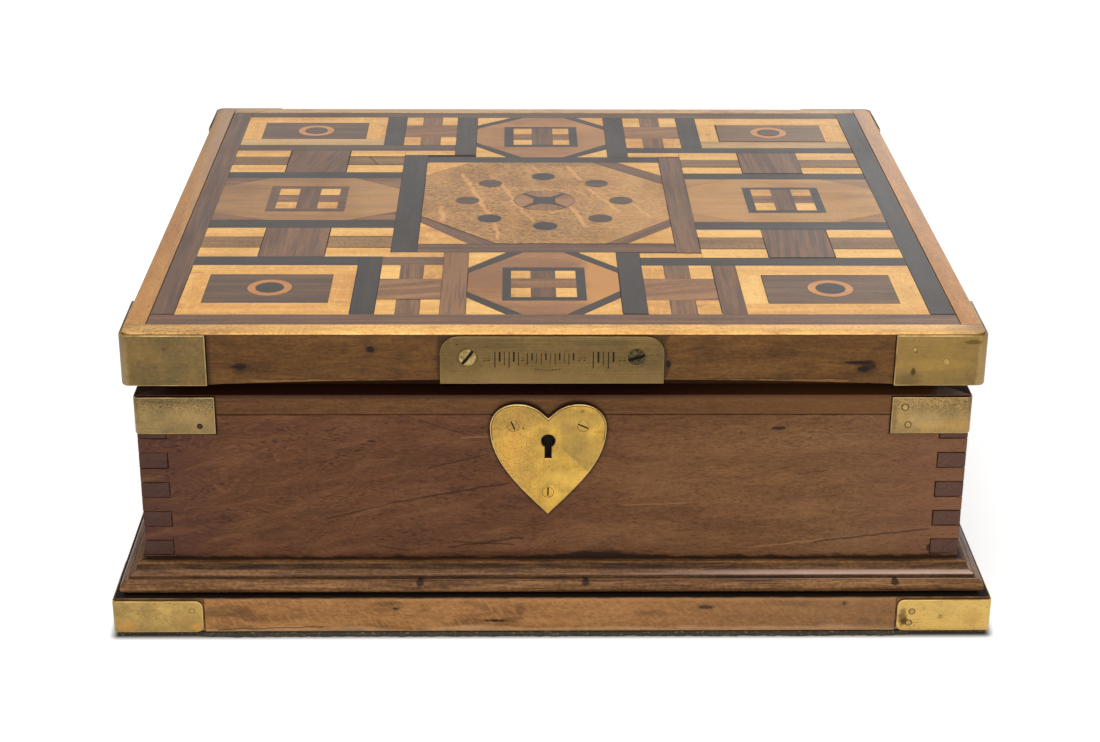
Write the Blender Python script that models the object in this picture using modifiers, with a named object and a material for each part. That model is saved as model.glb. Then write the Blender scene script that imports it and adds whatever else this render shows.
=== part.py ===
"""Humidor: a finger-jointed box of brown hardwood with an inlaid lid and brass corner straps.

Metres, +Z up. The front faces -Y, and the origin is under the middle of the felt.
"""

import math

import bmesh
import bpy
from mathutils import Matrix, Vector

# Clearances
FIT_GAP = 0.0003  # glue line, or a fit between two pieces
PLATE_GAP = 0.0002  # between a flat plate and the wood behind it
SCREW_GAP = 0.00015  # round a screw, in its plate and in the wood
CUT_PAST = 0.002  # how far a cutter runs out of what it cuts

# Tolerances of the meshes, and Blender's setting for a bevel that is an arc
SAME_PLACE = 1e-6
WELD_DISTANCE = 1e-7
LATHE_WELD = 1e-5
FLAT_WITHIN = 0.5  # degrees
ROUND_BEVEL = 0.5

# Box walls, of the same board all round. The foot and the lid take their size from them
BODY_WIDTH = 0.3522
BODY_DEPTH = 0.3177
WALL_THICKNESS = 0.0120
WALL_HEIGHT = 0.0803
PIN_COUNT = 6
PIN_HEIGHT = 0.0071
TOP_FINGER = 0.0039

# Felt and base board
FELT_THICKNESS = 0.0017
FELT_INSET = 0.0012
BASE_OVERHANG = 0.0132
BASE_THICKNESS = 0.0166
BASE_CORNER_RADIUS = 0.0015

# Rim strip: a ledge outside, and a lip inside that carries the lid
LEDGE_HEIGHT = 0.0089
LEDGE_WIDTH = 0.0120
LIP_HEIGHT = 0.0061
LIP_WIDTH = 0.0060

# Moulding round the foot, from the bottom up: round nose, bead, cove, fillet
NOSE_RADIUS = 0.0029
NOSE_OUT = 0.0104
BEAD_OUT = 0.0061
BEAD_HEIGHT = 0.0022
COVE_RADIUS = 0.0027
FILLET_HEIGHT = 0.0016
NOSE_SIDES = 10
COVE_SIDES = 6

# Lid
LID_OVERHANG_SIDE = 0.0032
LID_OVERHANG_FRONT = 0.00425
LID_BOARD_HEIGHT = 0.0223
LID_BOARD_THICKNESS = 0.0180
LID_PANEL_THICKNESS = 0.0080
VENEER_THICKNESS = 0.0010
BORDER_WIDTH = 0.0090
BORDER_BACK_WIDTH = 0.0078
BORDER_CORNER_RADIUS = 0.0045
BORDER_ROUNDING = 0.0007
BORDER_ROUNDING_SIDES = 3
CORNER_SIDES = 6

# Corner straps: how far they stand proud of the wood, and their arms from the outer corner
STRAP_CORNER_SIDES = 5
LID_STRAP_THICKNESS = 0.0015
LID_STRAP_PROUD = 0.0011
LID_STRAP_RADIUS = 0.0040
LID_STRAP_ARM_LEFT = 0.0360
LID_STRAP_ARM_RIGHT = 0.0387
LID_STRAP_ARM_SIDE = 0.0380
BODY_STRAP_THICKNESS = 0.0012
BODY_STRAP_PROUD = 0.0008
BODY_STRAP_RADIUS = 0.0026
BODY_STRAP_ARM = 0.0342
BODY_STRAP_HEIGHT = 0.0169
BODY_STRAP_BELOW_LEDGE = 0.0008
BASE_STRAP_THICKNESS = 0.0012
BASE_STRAP_PROUD = 0.0007
BASE_STRAP_RADIUS = 0.0022
BASE_STRAP_ARM_LEFT = 0.0390
BASE_STRAP_ARM_RIGHT = 0.0410
BASE_STRAP_ARM_SIDE = 0.0390
BASE_STRAP_HEIGHT = 0.0152
BASE_STRAP_LIFT = 0.0003
BASE_STRAP_END_RADIUS = 0.0030
BASE_STRAP_END_SIDES = 4

# Heart-shaped keyhole plate
HEART_WIDTH = 0.0495
HEART_HEIGHT = 0.0518
HEART_THICKNESS = 0.0013
HEART_EASE = 0.0003
HEART_CURVE_STEPS = 14
HEART_CENTRE_X = -0.0024
HEART_DROP = 0.0037
HEART_SCREW_INSET = 0.00995
HEART_SCREW_DROP = 0.0102
HEART_LOWER_SCREW_UP = 0.0106
HEART_SCREW_RADIUS = 0.0024
HEART_SHANK_RADIUS = 0.0012
HEART_SCREW_LENGTH = 0.0095
HEART_SLOT_WIDTH = 0.0006
KEYHOLE_DROP = 0.0171
KEYHOLE_RADIUS = 0.0030
KEYHOLE_SLOT_WIDTH = 0.0029
KEYHOLE_SLOT_DROP = 0.0081
KEYHOLE_POCKET_DEPTH = 0.0024
KEYHOLE_SIDES = 18

# Name plate
PLATE_WIDTH = 0.0930
PLATE_HEIGHT = 0.0211
PLATE_THICKNESS = 0.0010
PLATE_CORNER_RADIUS = 0.0075
PLATE_CENTRE_X = -0.0011
PLATE_SCREW_INSET = 0.0114
PLATE_SCREW_UP = 0.0118
PLATE_SCREW_RADIUS = 0.0036
PLATE_SHANK_RADIUS = 0.0017
PLATE_SCREW_LENGTH = 0.0120
PLATE_SCREW_DOME = 0.0005
PLATE_SLOT_WIDTH = 0.0013

# Screw heads
SCREW_SIDES = 20
HEAD_EDGE = 0.0001
DOME_SIDES = 3
SLOT_DEPTH = 0.0007

# Plan sizes of the lid and the foot
lid_width = BODY_WIDTH + 2 * LID_OVERHANG_SIDE
lid_depth = BODY_DEPTH + 2 * LID_OVERHANG_FRONT
base_width = BODY_WIDTH + 2 * BASE_OVERHANG
base_depth = BODY_DEPTH + 2 * BASE_OVERHANG

# Heights, stacked from the ground up
base_bottom = FELT_THICKNESS + FIT_GAP
base_top = base_bottom + BASE_THICKNESS
wall_bottom = base_top + FIT_GAP
wall_top = wall_bottom + WALL_HEIGHT
rim_bottom = wall_top + FIT_GAP
ledge = rim_bottom + LEDGE_HEIGHT
lid_bottom = ledge + LIP_HEIGHT + FIT_GAP
lid_top = lid_bottom + LID_BOARD_HEIGHT
veneer_bottom = lid_top + FIT_GAP
veneer_top = veneer_bottom + VENEER_THICKNESS

# Front faces of the wood
body_front = -BODY_DEPTH / 2
lid_front = -lid_depth / 2

SIDES = ("front", "right", "back", "left")
CORNERS = {
    "front_left": (-1, -1),
    "front_right": (1, -1),
    "back_right": (1, 1),
    "back_left": (-1, 1),
}


def clear_scene():
    for thing in list(bpy.data.objects):
        bpy.data.objects.remove(thing)


def new_collection(name):
    made = bpy.data.collections.new(name)
    bpy.context.scene.collection.children.link(made)
    return made


def finish(name, colour, roughness, metallic=0.0):
    made = bpy.data.materials.new(name)
    made.use_nodes = True
    shader = made.node_tree.nodes["Principled BSDF"]
    shader.inputs["Base Color"].default_value = (*colour, 1.0)
    shader.inputs["Roughness"].default_value = roughness
    shader.inputs["Metallic"].default_value = metallic
    return made


clear_scene()
pieces = new_collection("humidor")
cutters = new_collection("cutters")
MAHOGANY = finish("mahogany", (0.17, 0.065, 0.033), 0.45)
RIM_WOOD = finish("rim_wood", (0.23, 0.105, 0.05), 0.45)
LID_WOOD = finish("lid_wood", (0.2, 0.085, 0.038), 0.4)
BASE_WOOD = finish("base_wood", (0.27, 0.12, 0.05), 0.45)
MOULDING_WOOD = finish("moulding_wood", (0.13, 0.06, 0.035), 0.4)
SATINWOOD = finish("satinwood", (0.6, 0.33, 0.13), 0.35)
INLAY = finish("inlay", (0.25, 0.14, 0.09), 0.35)
STRAP_BRASS = finish("strap_brass", (0.32, 0.25, 0.12), 0.45, 1.0)
BRIGHT_BRASS = finish("bright_brass", (0.62, 0.43, 0.13), 0.35, 1.0)
SCREW_STEEL = finish("screw_steel", (0.1, 0.085, 0.06), 0.5, 1.0)
FELT = finish("felt", (0.06, 0.055, 0.045), 0.95)


def add_piece(name, mesh, material):
    """A visible piece. Its mesh is already in place."""
    piece = bpy.data.objects.new(name, mesh)
    mesh.materials.append(material)
    pieces.objects.link(piece)
    return piece


def add_cutter(name, mesh):
    cutter = bpy.data.objects.new(name, mesh)
    cutter.hide_render = True
    cutter.display_type = "WIRE"
    cutters.objects.link(cutter)
    return cutter


def cut(piece, cutter):
    hole = piece.modifiers.new(cutter.name, "BOOLEAN")
    hole.operation = "DIFFERENCE"
    hole.solver = "EXACT"
    hole.object = cutter


def boxes_mesh(name, spans):
    """A mesh of separate boxes, each given by its low and high corner."""
    model = bmesh.new()
    for low, high in spans:
        size = Vector(high) - Vector(low)
        middle = (Vector(high) + Vector(low)) / 2
        place = Matrix.Translation(middle) @ Matrix.Diagonal((*size, 1))
        bmesh.ops.create_cube(model, size=1, matrix=place)
    mesh = bpy.data.meshes.new(name)
    model.to_mesh(mesh)
    model.free()
    return mesh


def arc(centre, radius, start, end, sides):
    """Points round an arc, with its angles in degrees."""
    for step in range(sides + 1):
        angle = math.radians(start + (end - start) * step / sides)
        yield (centre[0] + radius * math.cos(angle), centre[1] + radius * math.sin(angle))


def corner_arc(corner, radius, start, towards):
    """A quarter round at a rectangle's corner, or the corner itself where the radius is none."""
    if radius <= 0:
        return [corner]
    centre = (corner[0] + towards[0] * radius, corner[1] + towards[1] * radius)
    return list(arc(centre, radius, start, start + 90, CORNER_SIDES))


def rectangle(low, high, radii=(0, 0, 0, 0)):
    """An outline with round corners, in the order low-low, high-low, high-high, low-high."""
    outline = corner_arc(low, radii[0], 180, (1, 1))
    outline += corner_arc((high[0], low[1]), radii[1], 270, (-1, 1))
    outline += corner_arc(high, radii[2], 0, (-1, -1))
    outline += corner_arc((low[0], high[1]), radii[3], 90, (1, -1))
    return outline


def flat_curve(name, thickness, ease=0.0):
    """An empty flat curve that is filled and given a thickness, its edges eased inside its outline."""
    curve = bpy.data.curves.new(name, "CURVE")
    curve.dimensions = "2D"
    curve.fill_mode = "BOTH"
    curve.extrude = thickness / 2 - ease
    curve.bevel_depth = ease
    curve.bevel_resolution = 0
    curve.offset = -ease
    return curve


def add_outline(curve, outline):
    spline = curve.splines.new("POLY")
    spline.points.add(len(outline) - 1)
    for point, (across, up) in zip(spline.points, outline):
        point.co = (across, up, 0, 1)
    spline.use_cyclic_u = True


def tidy(model):
    """Welds a solid, makes each flat side one face, and turns every face outwards."""
    bmesh.ops.remove_doubles(model, verts=model.verts, dist=WELD_DISTANCE)
    bmesh.ops.dissolve_limit(
        model, angle_limit=math.radians(FLAT_WITHIN), verts=model.verts, edges=model.edges
    )
    bmesh.ops.recalc_face_normals(model, faces=model.faces)


def solid_of(curve):
    """The curve as a welded bmesh, from z = 0 up, with the curve removed."""
    guide = bpy.data.objects.new(curve.name, curve)
    pieces.objects.link(guide)
    graph = bpy.context.evaluated_depsgraph_get()
    graph.update()
    mesh = bpy.data.meshes.new_from_object(guide.evaluated_get(graph))
    model = bmesh.new()
    model.from_mesh(mesh)
    bpy.data.objects.remove(guide)
    bpy.data.curves.remove(curve)
    bpy.data.meshes.remove(mesh)
    tidy(model)
    lowest = min(vertex.co.z for vertex in model.verts)
    bmesh.ops.translate(model, verts=model.verts, vec=(0, 0, -lowest))
    return model


def extruded(name, outline, thickness):
    curve = flat_curve(name, thickness)
    add_outline(curve, outline)
    return solid_of(curve)


def to_mesh(model, name, place=None):
    """Writes a bmesh to a mesh, moved by a matrix, with its faces turned outwards."""
    if place is not None:
        bmesh.ops.transform(model, matrix=place, verts=model.verts)
    bmesh.ops.recalc_face_normals(model, faces=model.faces)
    mesh = bpy.data.meshes.new(name)
    model.to_mesh(mesh)
    model.free()
    return mesh


def upright(x, y, z):
    """Stands a flat piece up with its face to the front, its own origin at x, y, z."""
    return Matrix.Translation((x, y, z)) @ Matrix.Rotation(math.radians(90), 4, "X")


def mitred_frame(prefix, profile, half_width, half_depth, bottom, material):
    """Four mitred strips. The profile is (inward, up) from the frame's outer line, at its bottom."""
    frame = {}
    for quarter, side in enumerate(SIDES):
        half_run, half_across = half_width, half_depth
        if side in ("left", "right"):
            half_run, half_across = half_depth, half_width
        name = f"{prefix}_{side}"
        model = extruded(name, profile, 2 * half_run)
        for vertex in model.verts:
            inward, up, along = vertex.co
            end = half_run - inward - FIT_GAP / 2
            vertex.co = (math.copysign(end, along - half_run), inward - half_across, bottom + up)
        turn = Matrix.Rotation(math.radians(90) * quarter, 4, "Z")
        frame[side] = add_piece(name, to_mesh(model, name, turn), material)
    return frame


def build_felt():
    half_width = base_width / 2 - FELT_INSET
    half_depth = base_depth / 2 - FELT_INSET
    span = ((-half_width, -half_depth, 0), (half_width, half_depth, FELT_THICKNESS))
    return add_piece("felt", boxes_mesh("felt", [span]), FELT)


def build_base():
    half = (base_width / 2, base_depth / 2)
    outline = rectangle((-half[0], -half[1]), half, (BASE_CORNER_RADIUS,) * 4)
    model = extruded("base_board", outline, BASE_THICKNESS)
    place = Matrix.Translation((0, 0, base_bottom))
    return add_piece("base_board", to_mesh(model, "base_board", place), BASE_WOOD)


def pin_spans():
    """The heights of the side walls' pins, which show as end grain on the front and back."""
    pitch = (WALL_HEIGHT - PIN_HEIGHT - TOP_FINGER) / (PIN_COUNT - 1)
    for pin in range(PIN_COUNT):
        low = wall_bottom + pin * pitch
        yield low, low + PIN_HEIGHT


def build_walls():
    half_x = BODY_WIDTH / 2
    half_y = BODY_DEPTH / 2
    inner_x = half_x - WALL_THICKNESS
    inner_y = half_y - WALL_THICKNESS
    low, high = wall_bottom, wall_top
    walls = {
        "front": ((-half_x, -half_y, low), (half_x, -inner_y, high)),
        "back": ((-half_x, inner_y, low), (half_x, half_y, high)),
        "left": ((-half_x, -half_y, low), (-inner_x, half_y, high)),
        "right": ((inner_x, -half_y, low), (half_x, half_y, high)),
    }
    for side, span in walls.items():
        name = f"wall_{side}"
        walls[side] = add_piece(name, boxes_mesh(name, [span]), MAHOGANY)

    pins = list(pin_spans())
    sockets = []
    for pin_low, pin_high in pins:
        bottom = pin_low - (CUT_PAST if pin_low == wall_bottom else FIT_GAP / 2)
        top = pin_high + FIT_GAP / 2
        start, end = inner_x - FIT_GAP, half_x + CUT_PAST
        reach = half_y + CUT_PAST
        sockets.append(((-end, -reach, bottom), (-start, reach, top)))
        sockets.append(((start, -reach, bottom), (end, reach, top)))
    notches = []
    next_lows = [pin_low for pin_low, _ in pins[1:]] + [wall_top + CUT_PAST]
    for (_, pin_high), next_low in zip(pins, next_lows):
        bottom, top = pin_high - FIT_GAP / 2, next_low + FIT_GAP / 2
        start, end = inner_y - FIT_GAP, half_y + CUT_PAST
        reach = half_x + CUT_PAST
        notches.append(((-reach, -end, bottom), (reach, -start, top)))
        notches.append(((-reach, start, bottom), (reach, end, top)))
    socket_cutter = add_cutter("pin_sockets", boxes_mesh("pin_sockets", sockets))
    notch_cutter = add_cutter("finger_notches", boxes_mesh("finger_notches", notches))
    for side in ("front", "back"):
        cut(walls[side], socket_cutter)
    for side in ("left", "right"):
        cut(walls[side], notch_cutter)
    return walls


def build_rim():
    width = LEDGE_WIDTH + LIP_WIDTH
    lip_top = LEDGE_HEIGHT + LIP_HEIGHT
    profile = [
        (0, 0),
        (width, 0),
        (width, lip_top),
        (LEDGE_WIDTH, lip_top),
        (LEDGE_WIDTH, LEDGE_HEIGHT),
        (0, LEDGE_HEIGHT),
    ]
    return mitred_frame("rim", profile, BODY_WIDTH / 2, BODY_DEPTH / 2, rim_bottom, RIM_WOOD)


def build_moulding():
    """Round nose at the foot, then a bead, a cove and a fillet, worked outwards from the wall."""
    nose_centre = (NOSE_OUT - NOSE_RADIUS, NOSE_RADIUS)
    bead_top = 2 * NOSE_RADIUS + BEAD_HEIGHT
    cove_centre = (BEAD_OUT, bead_top + COVE_RADIUS)
    top = cove_centre[1] + FILLET_HEIGHT
    outward = [(0, 0)]
    outward += arc(nose_centre, NOSE_RADIUS, -90, 90, NOSE_SIDES)
    outward += [(BEAD_OUT, 2 * NOSE_RADIUS)]
    outward += arc(cove_centre, COVE_RADIUS, 270, 180, COVE_SIDES)
    outward += [(BEAD_OUT - COVE_RADIUS, top), (0, top)]
    profile = [(-out, up) for out, up in outward]
    half_width = BODY_WIDTH / 2 + FIT_GAP
    half_depth = BODY_DEPTH / 2 + FIT_GAP
    return mitred_frame("moulding", profile, half_width, half_depth, wall_bottom, MOULDING_WOOD)


def build_lid():
    thickness, height = LID_BOARD_THICKNESS, LID_BOARD_HEIGHT
    profile = [(0, 0), (thickness, 0), (thickness, height), (0, height)]
    boards = mitred_frame("lid", profile, lid_width / 2, lid_depth / 2, lid_bottom, LID_WOOD)
    half_x = lid_width / 2 - thickness - FIT_GAP
    half_y = lid_depth / 2 - thickness - FIT_GAP
    span = ((-half_x, -half_y, lid_top - LID_PANEL_THICKNESS), (half_x, half_y, lid_top))
    add_piece("lid_panel", boxes_mesh("lid_panel", [span]), LID_WOOD)
    return boards


def on_lid_edge(x, y):
    """Whether a point is on the outer edge of the lid, its round corners included."""
    spare_x = lid_width / 2 - abs(x)
    spare_y = lid_depth / 2 - abs(y)
    if min(spare_x, spare_y) < SAME_PLACE:
        return True
    return max(spare_x, spare_y) < BORDER_CORNER_RADIUS


def round_lid_edge(model):
    top = max(vertex.co.z for vertex in model.verts)
    chosen = []
    for edge in model.edges:
        ends = [vertex.co for vertex in edge.verts]
        points = ends + [(ends[0] + ends[1]) / 2]
        if all(point.z > top - SAME_PLACE and on_lid_edge(point.x, point.y) for point in points):
            chosen.append(edge)
    bmesh.ops.bevel(
        model,
        geom=chosen,
        offset=BORDER_ROUNDING,
        segments=BORDER_ROUNDING_SIDES,
        profile=ROUND_BEVEL,
        affect="EDGES",
        material=-1,
        clamp_overlap=True,
    )


def build_lid_top():
    """The border strips and the sheet of inlay inside them. The front and side strips run through."""
    half_x = lid_width / 2
    half_y = lid_depth / 2
    front_inner = BORDER_WIDTH - half_y
    side_start = front_inner + FIT_GAP
    inner_x = half_x - BORDER_WIDTH
    radius = BORDER_CORNER_RADIUS
    strips = {
        "front": ((-half_x, -half_y), (half_x, front_inner), (radius, radius, 0, 0)),
        "left": ((-half_x, side_start), (-inner_x, half_y), (0, 0, 0, radius)),
        "right": ((inner_x, side_start), (half_x, half_y), (0, 0, radius, 0)),
        "back": (
            (FIT_GAP - inner_x, half_y - BORDER_BACK_WIDTH),
            (inner_x - FIT_GAP, half_y),
            (0, 0, 0, 0),
        ),
    }
    place = Matrix.Translation((0, 0, veneer_bottom))
    for side, (low, high, radii) in strips.items():
        name = f"border_{side}"
        model = extruded(name, rectangle(low, high, radii), VENEER_THICKNESS)
        round_lid_edge(model)
        add_piece(name, to_mesh(model, name, place), SATINWOOD)
    sheet_back = half_y - BORDER_BACK_WIDTH - FIT_GAP
    span = (
        (FIT_GAP - inner_x, side_start, veneer_bottom),
        (inner_x - FIT_GAP, sheet_back, veneer_top),
    )
    add_piece("parquetry", boxes_mesh("parquetry", [span]), INLAY)


def strap_outline(arm_x, arm_y, thickness, radius):
    """A corner strap from above, as distances inward from its outer corner."""
    centre = (radius, radius)
    inner = max(radius - thickness, 0)
    outline = [(arm_x, 0)]
    outline += arc(centre, radius, 270, 180, STRAP_CORNER_SIDES)
    outline += [(0, arm_y), (thickness, arm_y)]
    if inner > 0:
        outline += arc(centre, inner, 180, 270, STRAP_CORNER_SIDES)
    else:
        outline += [(thickness, thickness)]
    outline += [(arm_x, thickness)]
    return outline


def recess_outline(arm_x, arm_y, depth, radius):
    """What is cut away for a strap: it runs out past the wood's corner."""
    outline = [(arm_x, -CUT_PAST), (-CUT_PAST, -CUT_PAST), (-CUT_PAST, arm_y), (depth, arm_y)]
    inner = radius - depth
    if inner > 0:
        outline += arc((radius, radius), inner, 180, 270, STRAP_CORNER_SIDES)
    else:
        outline += [(depth, depth)]
    outline += [(arm_x, depth)]
    return outline


def round_strap_ends(model, arm_x, arm_y, radius):
    """Rounds the upper and lower corner at the end of each arm."""
    chosen = []
    for edge in model.edges:
        first, second = (vertex.co for vertex in edge.verts)
        if abs(first.z - second.z) > SAME_PLACE:
            continue
        on_x_end = min(first.x, second.x) > arm_x - SAME_PLACE
        on_y_end = min(first.y, second.y) > arm_y - SAME_PLACE
        if on_x_end or on_y_end:
            chosen.append(edge)
    bmesh.ops.bevel(
        model,
        geom=chosen,
        offset=radius,
        segments=BASE_STRAP_END_SIDES,
        profile=ROUND_BEVEL,
        affect="EDGES",
        material=-1,
        clamp_overlap=True,
    )


def build_straps(prefix, wood, proud, thickness, radius, arms, low, high, cut_pieces, end_radius=0):
    """Four corner straps at one level, let into the wood that they go round.

    wood is the half width and half depth of the wood, and arms gives the arm on the front and back at the
    left and at the right, then the arm on the sides.
    """
    recess = bmesh.new()
    outer = [half + proud for half in wood]
    for corner, (right, back) in CORNERS.items():
        arm_x = arms[0] if right < 0 else arms[1]
        arm_y = arms[2]
        name = f"{prefix}_strap_{corner}"
        place = Matrix.Translation((right * outer[0], back * outer[1], low))
        place @= Matrix.Diagonal((-right, -back, 1, 1))
        model = extruded(name, strap_outline(arm_x, arm_y, thickness, radius), high - low)
        if end_radius:
            round_strap_ends(model, arm_x, arm_y, end_radius)
        add_piece(name, to_mesh(model, name, place), BRIGHT_BRASS if end_radius else STRAP_BRASS)

        outline = recess_outline(arm_x + FIT_GAP, arm_y + FIT_GAP, thickness + FIT_GAP, radius)
        pocket = extruded(name, outline, high - low + 2 * FIT_GAP)
        pocket_mesh = to_mesh(pocket, name, Matrix.Translation((0, 0, -FIT_GAP)))
        pocket_mesh.transform(place)
        recess.from_mesh(pocket_mesh)
        bpy.data.meshes.remove(pocket_mesh)
    cutter = add_cutter(f"{prefix}_strap_recess", to_mesh(recess, f"{prefix}_strap_recess"))
    for piece in cut_pieces:
        cut(piece, cutter)


def screw_shank(radius, shank, length, grow=0.0):
    """The lower part of half a countersunk screw, (out, up) from the plate's face down to its end."""
    return [
        (radius + grow, -HEAD_EDGE),
        (shank + grow, -HEAD_EDGE - (radius - shank)),
        (shank + grow, -length - grow),
        (0, -length - grow),
    ]


def screw_profile(radius, shank, length, dome):
    """Half a screw with a flat or a domed head."""
    if dome:
        shares = [side / DOME_SIDES for side in range(DOME_SIDES)]
    else:
        shares = [0]
    head = [(radius * share, dome * (1 - share**2)) for share in shares]
    return head + [(radius, 0)] + screw_shank(radius, shank, length)


def screw_hole_profile(radius, shank, length):
    """Half the hole for that screw, running out past the plate's face."""
    head = [(0, CUT_PAST), (radius + SCREW_GAP, CUT_PAST)]
    return head + screw_shank(radius, shank, length, SCREW_GAP)


def profile_mesh(name, profile):
    """The edges of a profile, (out, up) in the XZ plane, ready to be turned round Z."""
    model = bmesh.new()
    vertices = [model.verts.new((out, 0, up)) for out, up in profile]
    for first, second in zip(vertices, vertices[1:]):
        model.edges.new((first, second))
    mesh = bpy.data.meshes.new(name)
    model.to_mesh(mesh)
    model.free()
    return mesh


def turn(thing):
    lathe = thing.modifiers.new("turned", "SCREW")
    lathe.axis = "Z"
    lathe.steps = SCREW_SIDES
    lathe.render_steps = SCREW_SIDES
    lathe.use_merge_vertices = True
    lathe.merge_threshold = LATHE_WELD
    lathe.use_smooth_shade = False


def build_screw(name, place, radius, shank, length, dome, slot, material, holds):
    """A countersunk screw with a slot of a given angle and width, and its hole through all that it holds."""
    slot_angle, slot_width = slot
    screw = add_piece(name, profile_mesh(name, screw_profile(radius, shank, length, dome)), material)
    turn(screw)
    screw.matrix_world = upright(*place)
    hole_profile = screw_hole_profile(radius, shank, length)
    hole = add_cutter(f"{name}_hole", profile_mesh(f"{name}_hole", hole_profile))
    turn(hole)
    hole.matrix_world = screw.matrix_world
    for piece in holds:
        cut(piece, hole)
    reach = radius + CUT_PAST
    span = ((-reach, -slot_width / 2, dome - SLOT_DEPTH), (reach, slot_width / 2, dome + CUT_PAST))
    groove = add_cutter(f"{name}_slot", boxes_mesh(f"{name}_slot", [span]))
    groove.matrix_world = screw.matrix_world @ Matrix.Rotation(math.radians(slot_angle), 4, "Z")
    cut(screw, groove)


def add_heart(curve):
    """The heart's outline, symmetric about x = 0 with its point at the origin."""
    half = HEART_WIDTH / 2
    knots = [
        # place, handle before it, handle after it, as shares of the half width and the height
        ((0, 0.872), (-0.12, 0.93), (0.12, 0.93)),
        ((0.53, 1), (0.25, 1), (0.82, 1)),
        ((1, 0.79), (1, 0.91), (1, 0.52)),
        ((0, 0), (0.65, 0.315), (-0.65, 0.315)),
        ((-1, 0.79), (-1, 0.52), (-1, 0.91)),
        ((-0.53, 1), (-0.82, 1), (-0.25, 1)),
    ]
    spline = curve.splines.new("BEZIER")
    spline.bezier_points.add(len(knots) - 1)
    spline.use_cyclic_u = True
    spline.resolution_u = HEART_CURVE_STEPS
    for point, shares in zip(spline.bezier_points, knots):
        place, before, after = [(half * x, HEART_HEIGHT * y, 0) for x, y in shares]
        point.handle_left_type = "FREE"
        point.handle_right_type = "FREE"
        point.co = place
        point.handle_left = before
        point.handle_right = after


def keyhole_outline(grow=0.0):
    """A round hole over a slot, from the middle of the round."""
    radius = KEYHOLE_RADIUS + grow
    half_slot = KEYHOLE_SLOT_WIDTH / 2 + grow
    half_gap = math.degrees(math.asin(half_slot / radius))
    outline = list(arc((0, 0), radius, 270 + half_gap, 630 - half_gap, KEYHOLE_SIDES))
    foot = -KEYHOLE_SLOT_DROP - grow
    return outline + [(-half_slot, foot), (half_slot, foot)]


def build_escutcheon(wall, rim):
    tip = ledge - HEART_DROP - HEART_HEIGHT
    face = body_front - PLATE_GAP - HEART_THICKNESS
    keyhole_up = HEART_HEIGHT - KEYHOLE_DROP
    curve = flat_curve("escutcheon", HEART_THICKNESS, HEART_EASE)
    add_heart(curve)
    add_outline(curve, [(x, y + keyhole_up) for x, y in keyhole_outline()])
    place = upright(HEART_CENTRE_X, body_front - PLATE_GAP, tip)
    mesh = to_mesh(solid_of(curve), "escutcheon", place)
    plate = add_piece("escutcheon", mesh, BRIGHT_BRASS)

    pocket = extruded("keyhole_pocket", keyhole_outline(), KEYHOLE_POCKET_DEPTH + CUT_PAST)
    sunk = upright(HEART_CENTRE_X, body_front + KEYHOLE_POCKET_DEPTH, tip + keyhole_up)
    cut(wall, add_cutter("keyhole_pocket", to_mesh(pocket, "keyhole_pocket", sunk)))

    across = HEART_WIDTH / 2 - HEART_SCREW_INSET
    upper = HEART_HEIGHT - HEART_SCREW_DROP
    screws = {
        "left": (-across, upper, -66),
        "right": (across, upper, -25),
        "lower": (0, HEART_LOWER_SCREW_UP, 88),
    }
    for label, (x, up, slot_angle) in screws.items():
        build_screw(
            f"escutcheon_screw_{label}",
            (HEART_CENTRE_X + x, face, tip + up),
            HEART_SCREW_RADIUS,
            HEART_SHANK_RADIUS,
            HEART_SCREW_LENGTH,
            0,
            (slot_angle, HEART_SLOT_WIDTH),
            BRIGHT_BRASS,
            (plate, wall, rim),
        )


def build_name_plate(board):
    low = (-PLATE_WIDTH / 2, 0)
    high = (PLATE_WIDTH / 2, PLATE_HEIGHT)
    radii = (0, 0, PLATE_CORNER_RADIUS, PLATE_CORNER_RADIUS)
    foot = lid_top - PLATE_HEIGHT
    face = lid_front - PLATE_GAP - PLATE_THICKNESS
    model = extruded("name_plate", rectangle(low, high, radii), PLATE_THICKNESS)
    place = upright(PLATE_CENTRE_X, lid_front - PLATE_GAP, foot)
    plate = add_piece("name_plate", to_mesh(model, "name_plate", place), STRAP_BRASS)
    across = PLATE_WIDTH / 2 - PLATE_SCREW_INSET
    screws = {"left": (-1, 52, STRAP_BRASS), "right": (1, 17, SCREW_STEEL)}
    for label, (side, slot_angle, material) in screws.items():
        build_screw(
            f"plate_screw_{label}",
            (PLATE_CENTRE_X + side * across, face, foot + PLATE_SCREW_UP),
            PLATE_SCREW_RADIUS,
            PLATE_SHANK_RADIUS,
            PLATE_SCREW_LENGTH,
            PLATE_SCREW_DOME,
            (slot_angle, PLATE_SLOT_WIDTH),
            material,
            (plate, board),
        )


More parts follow.
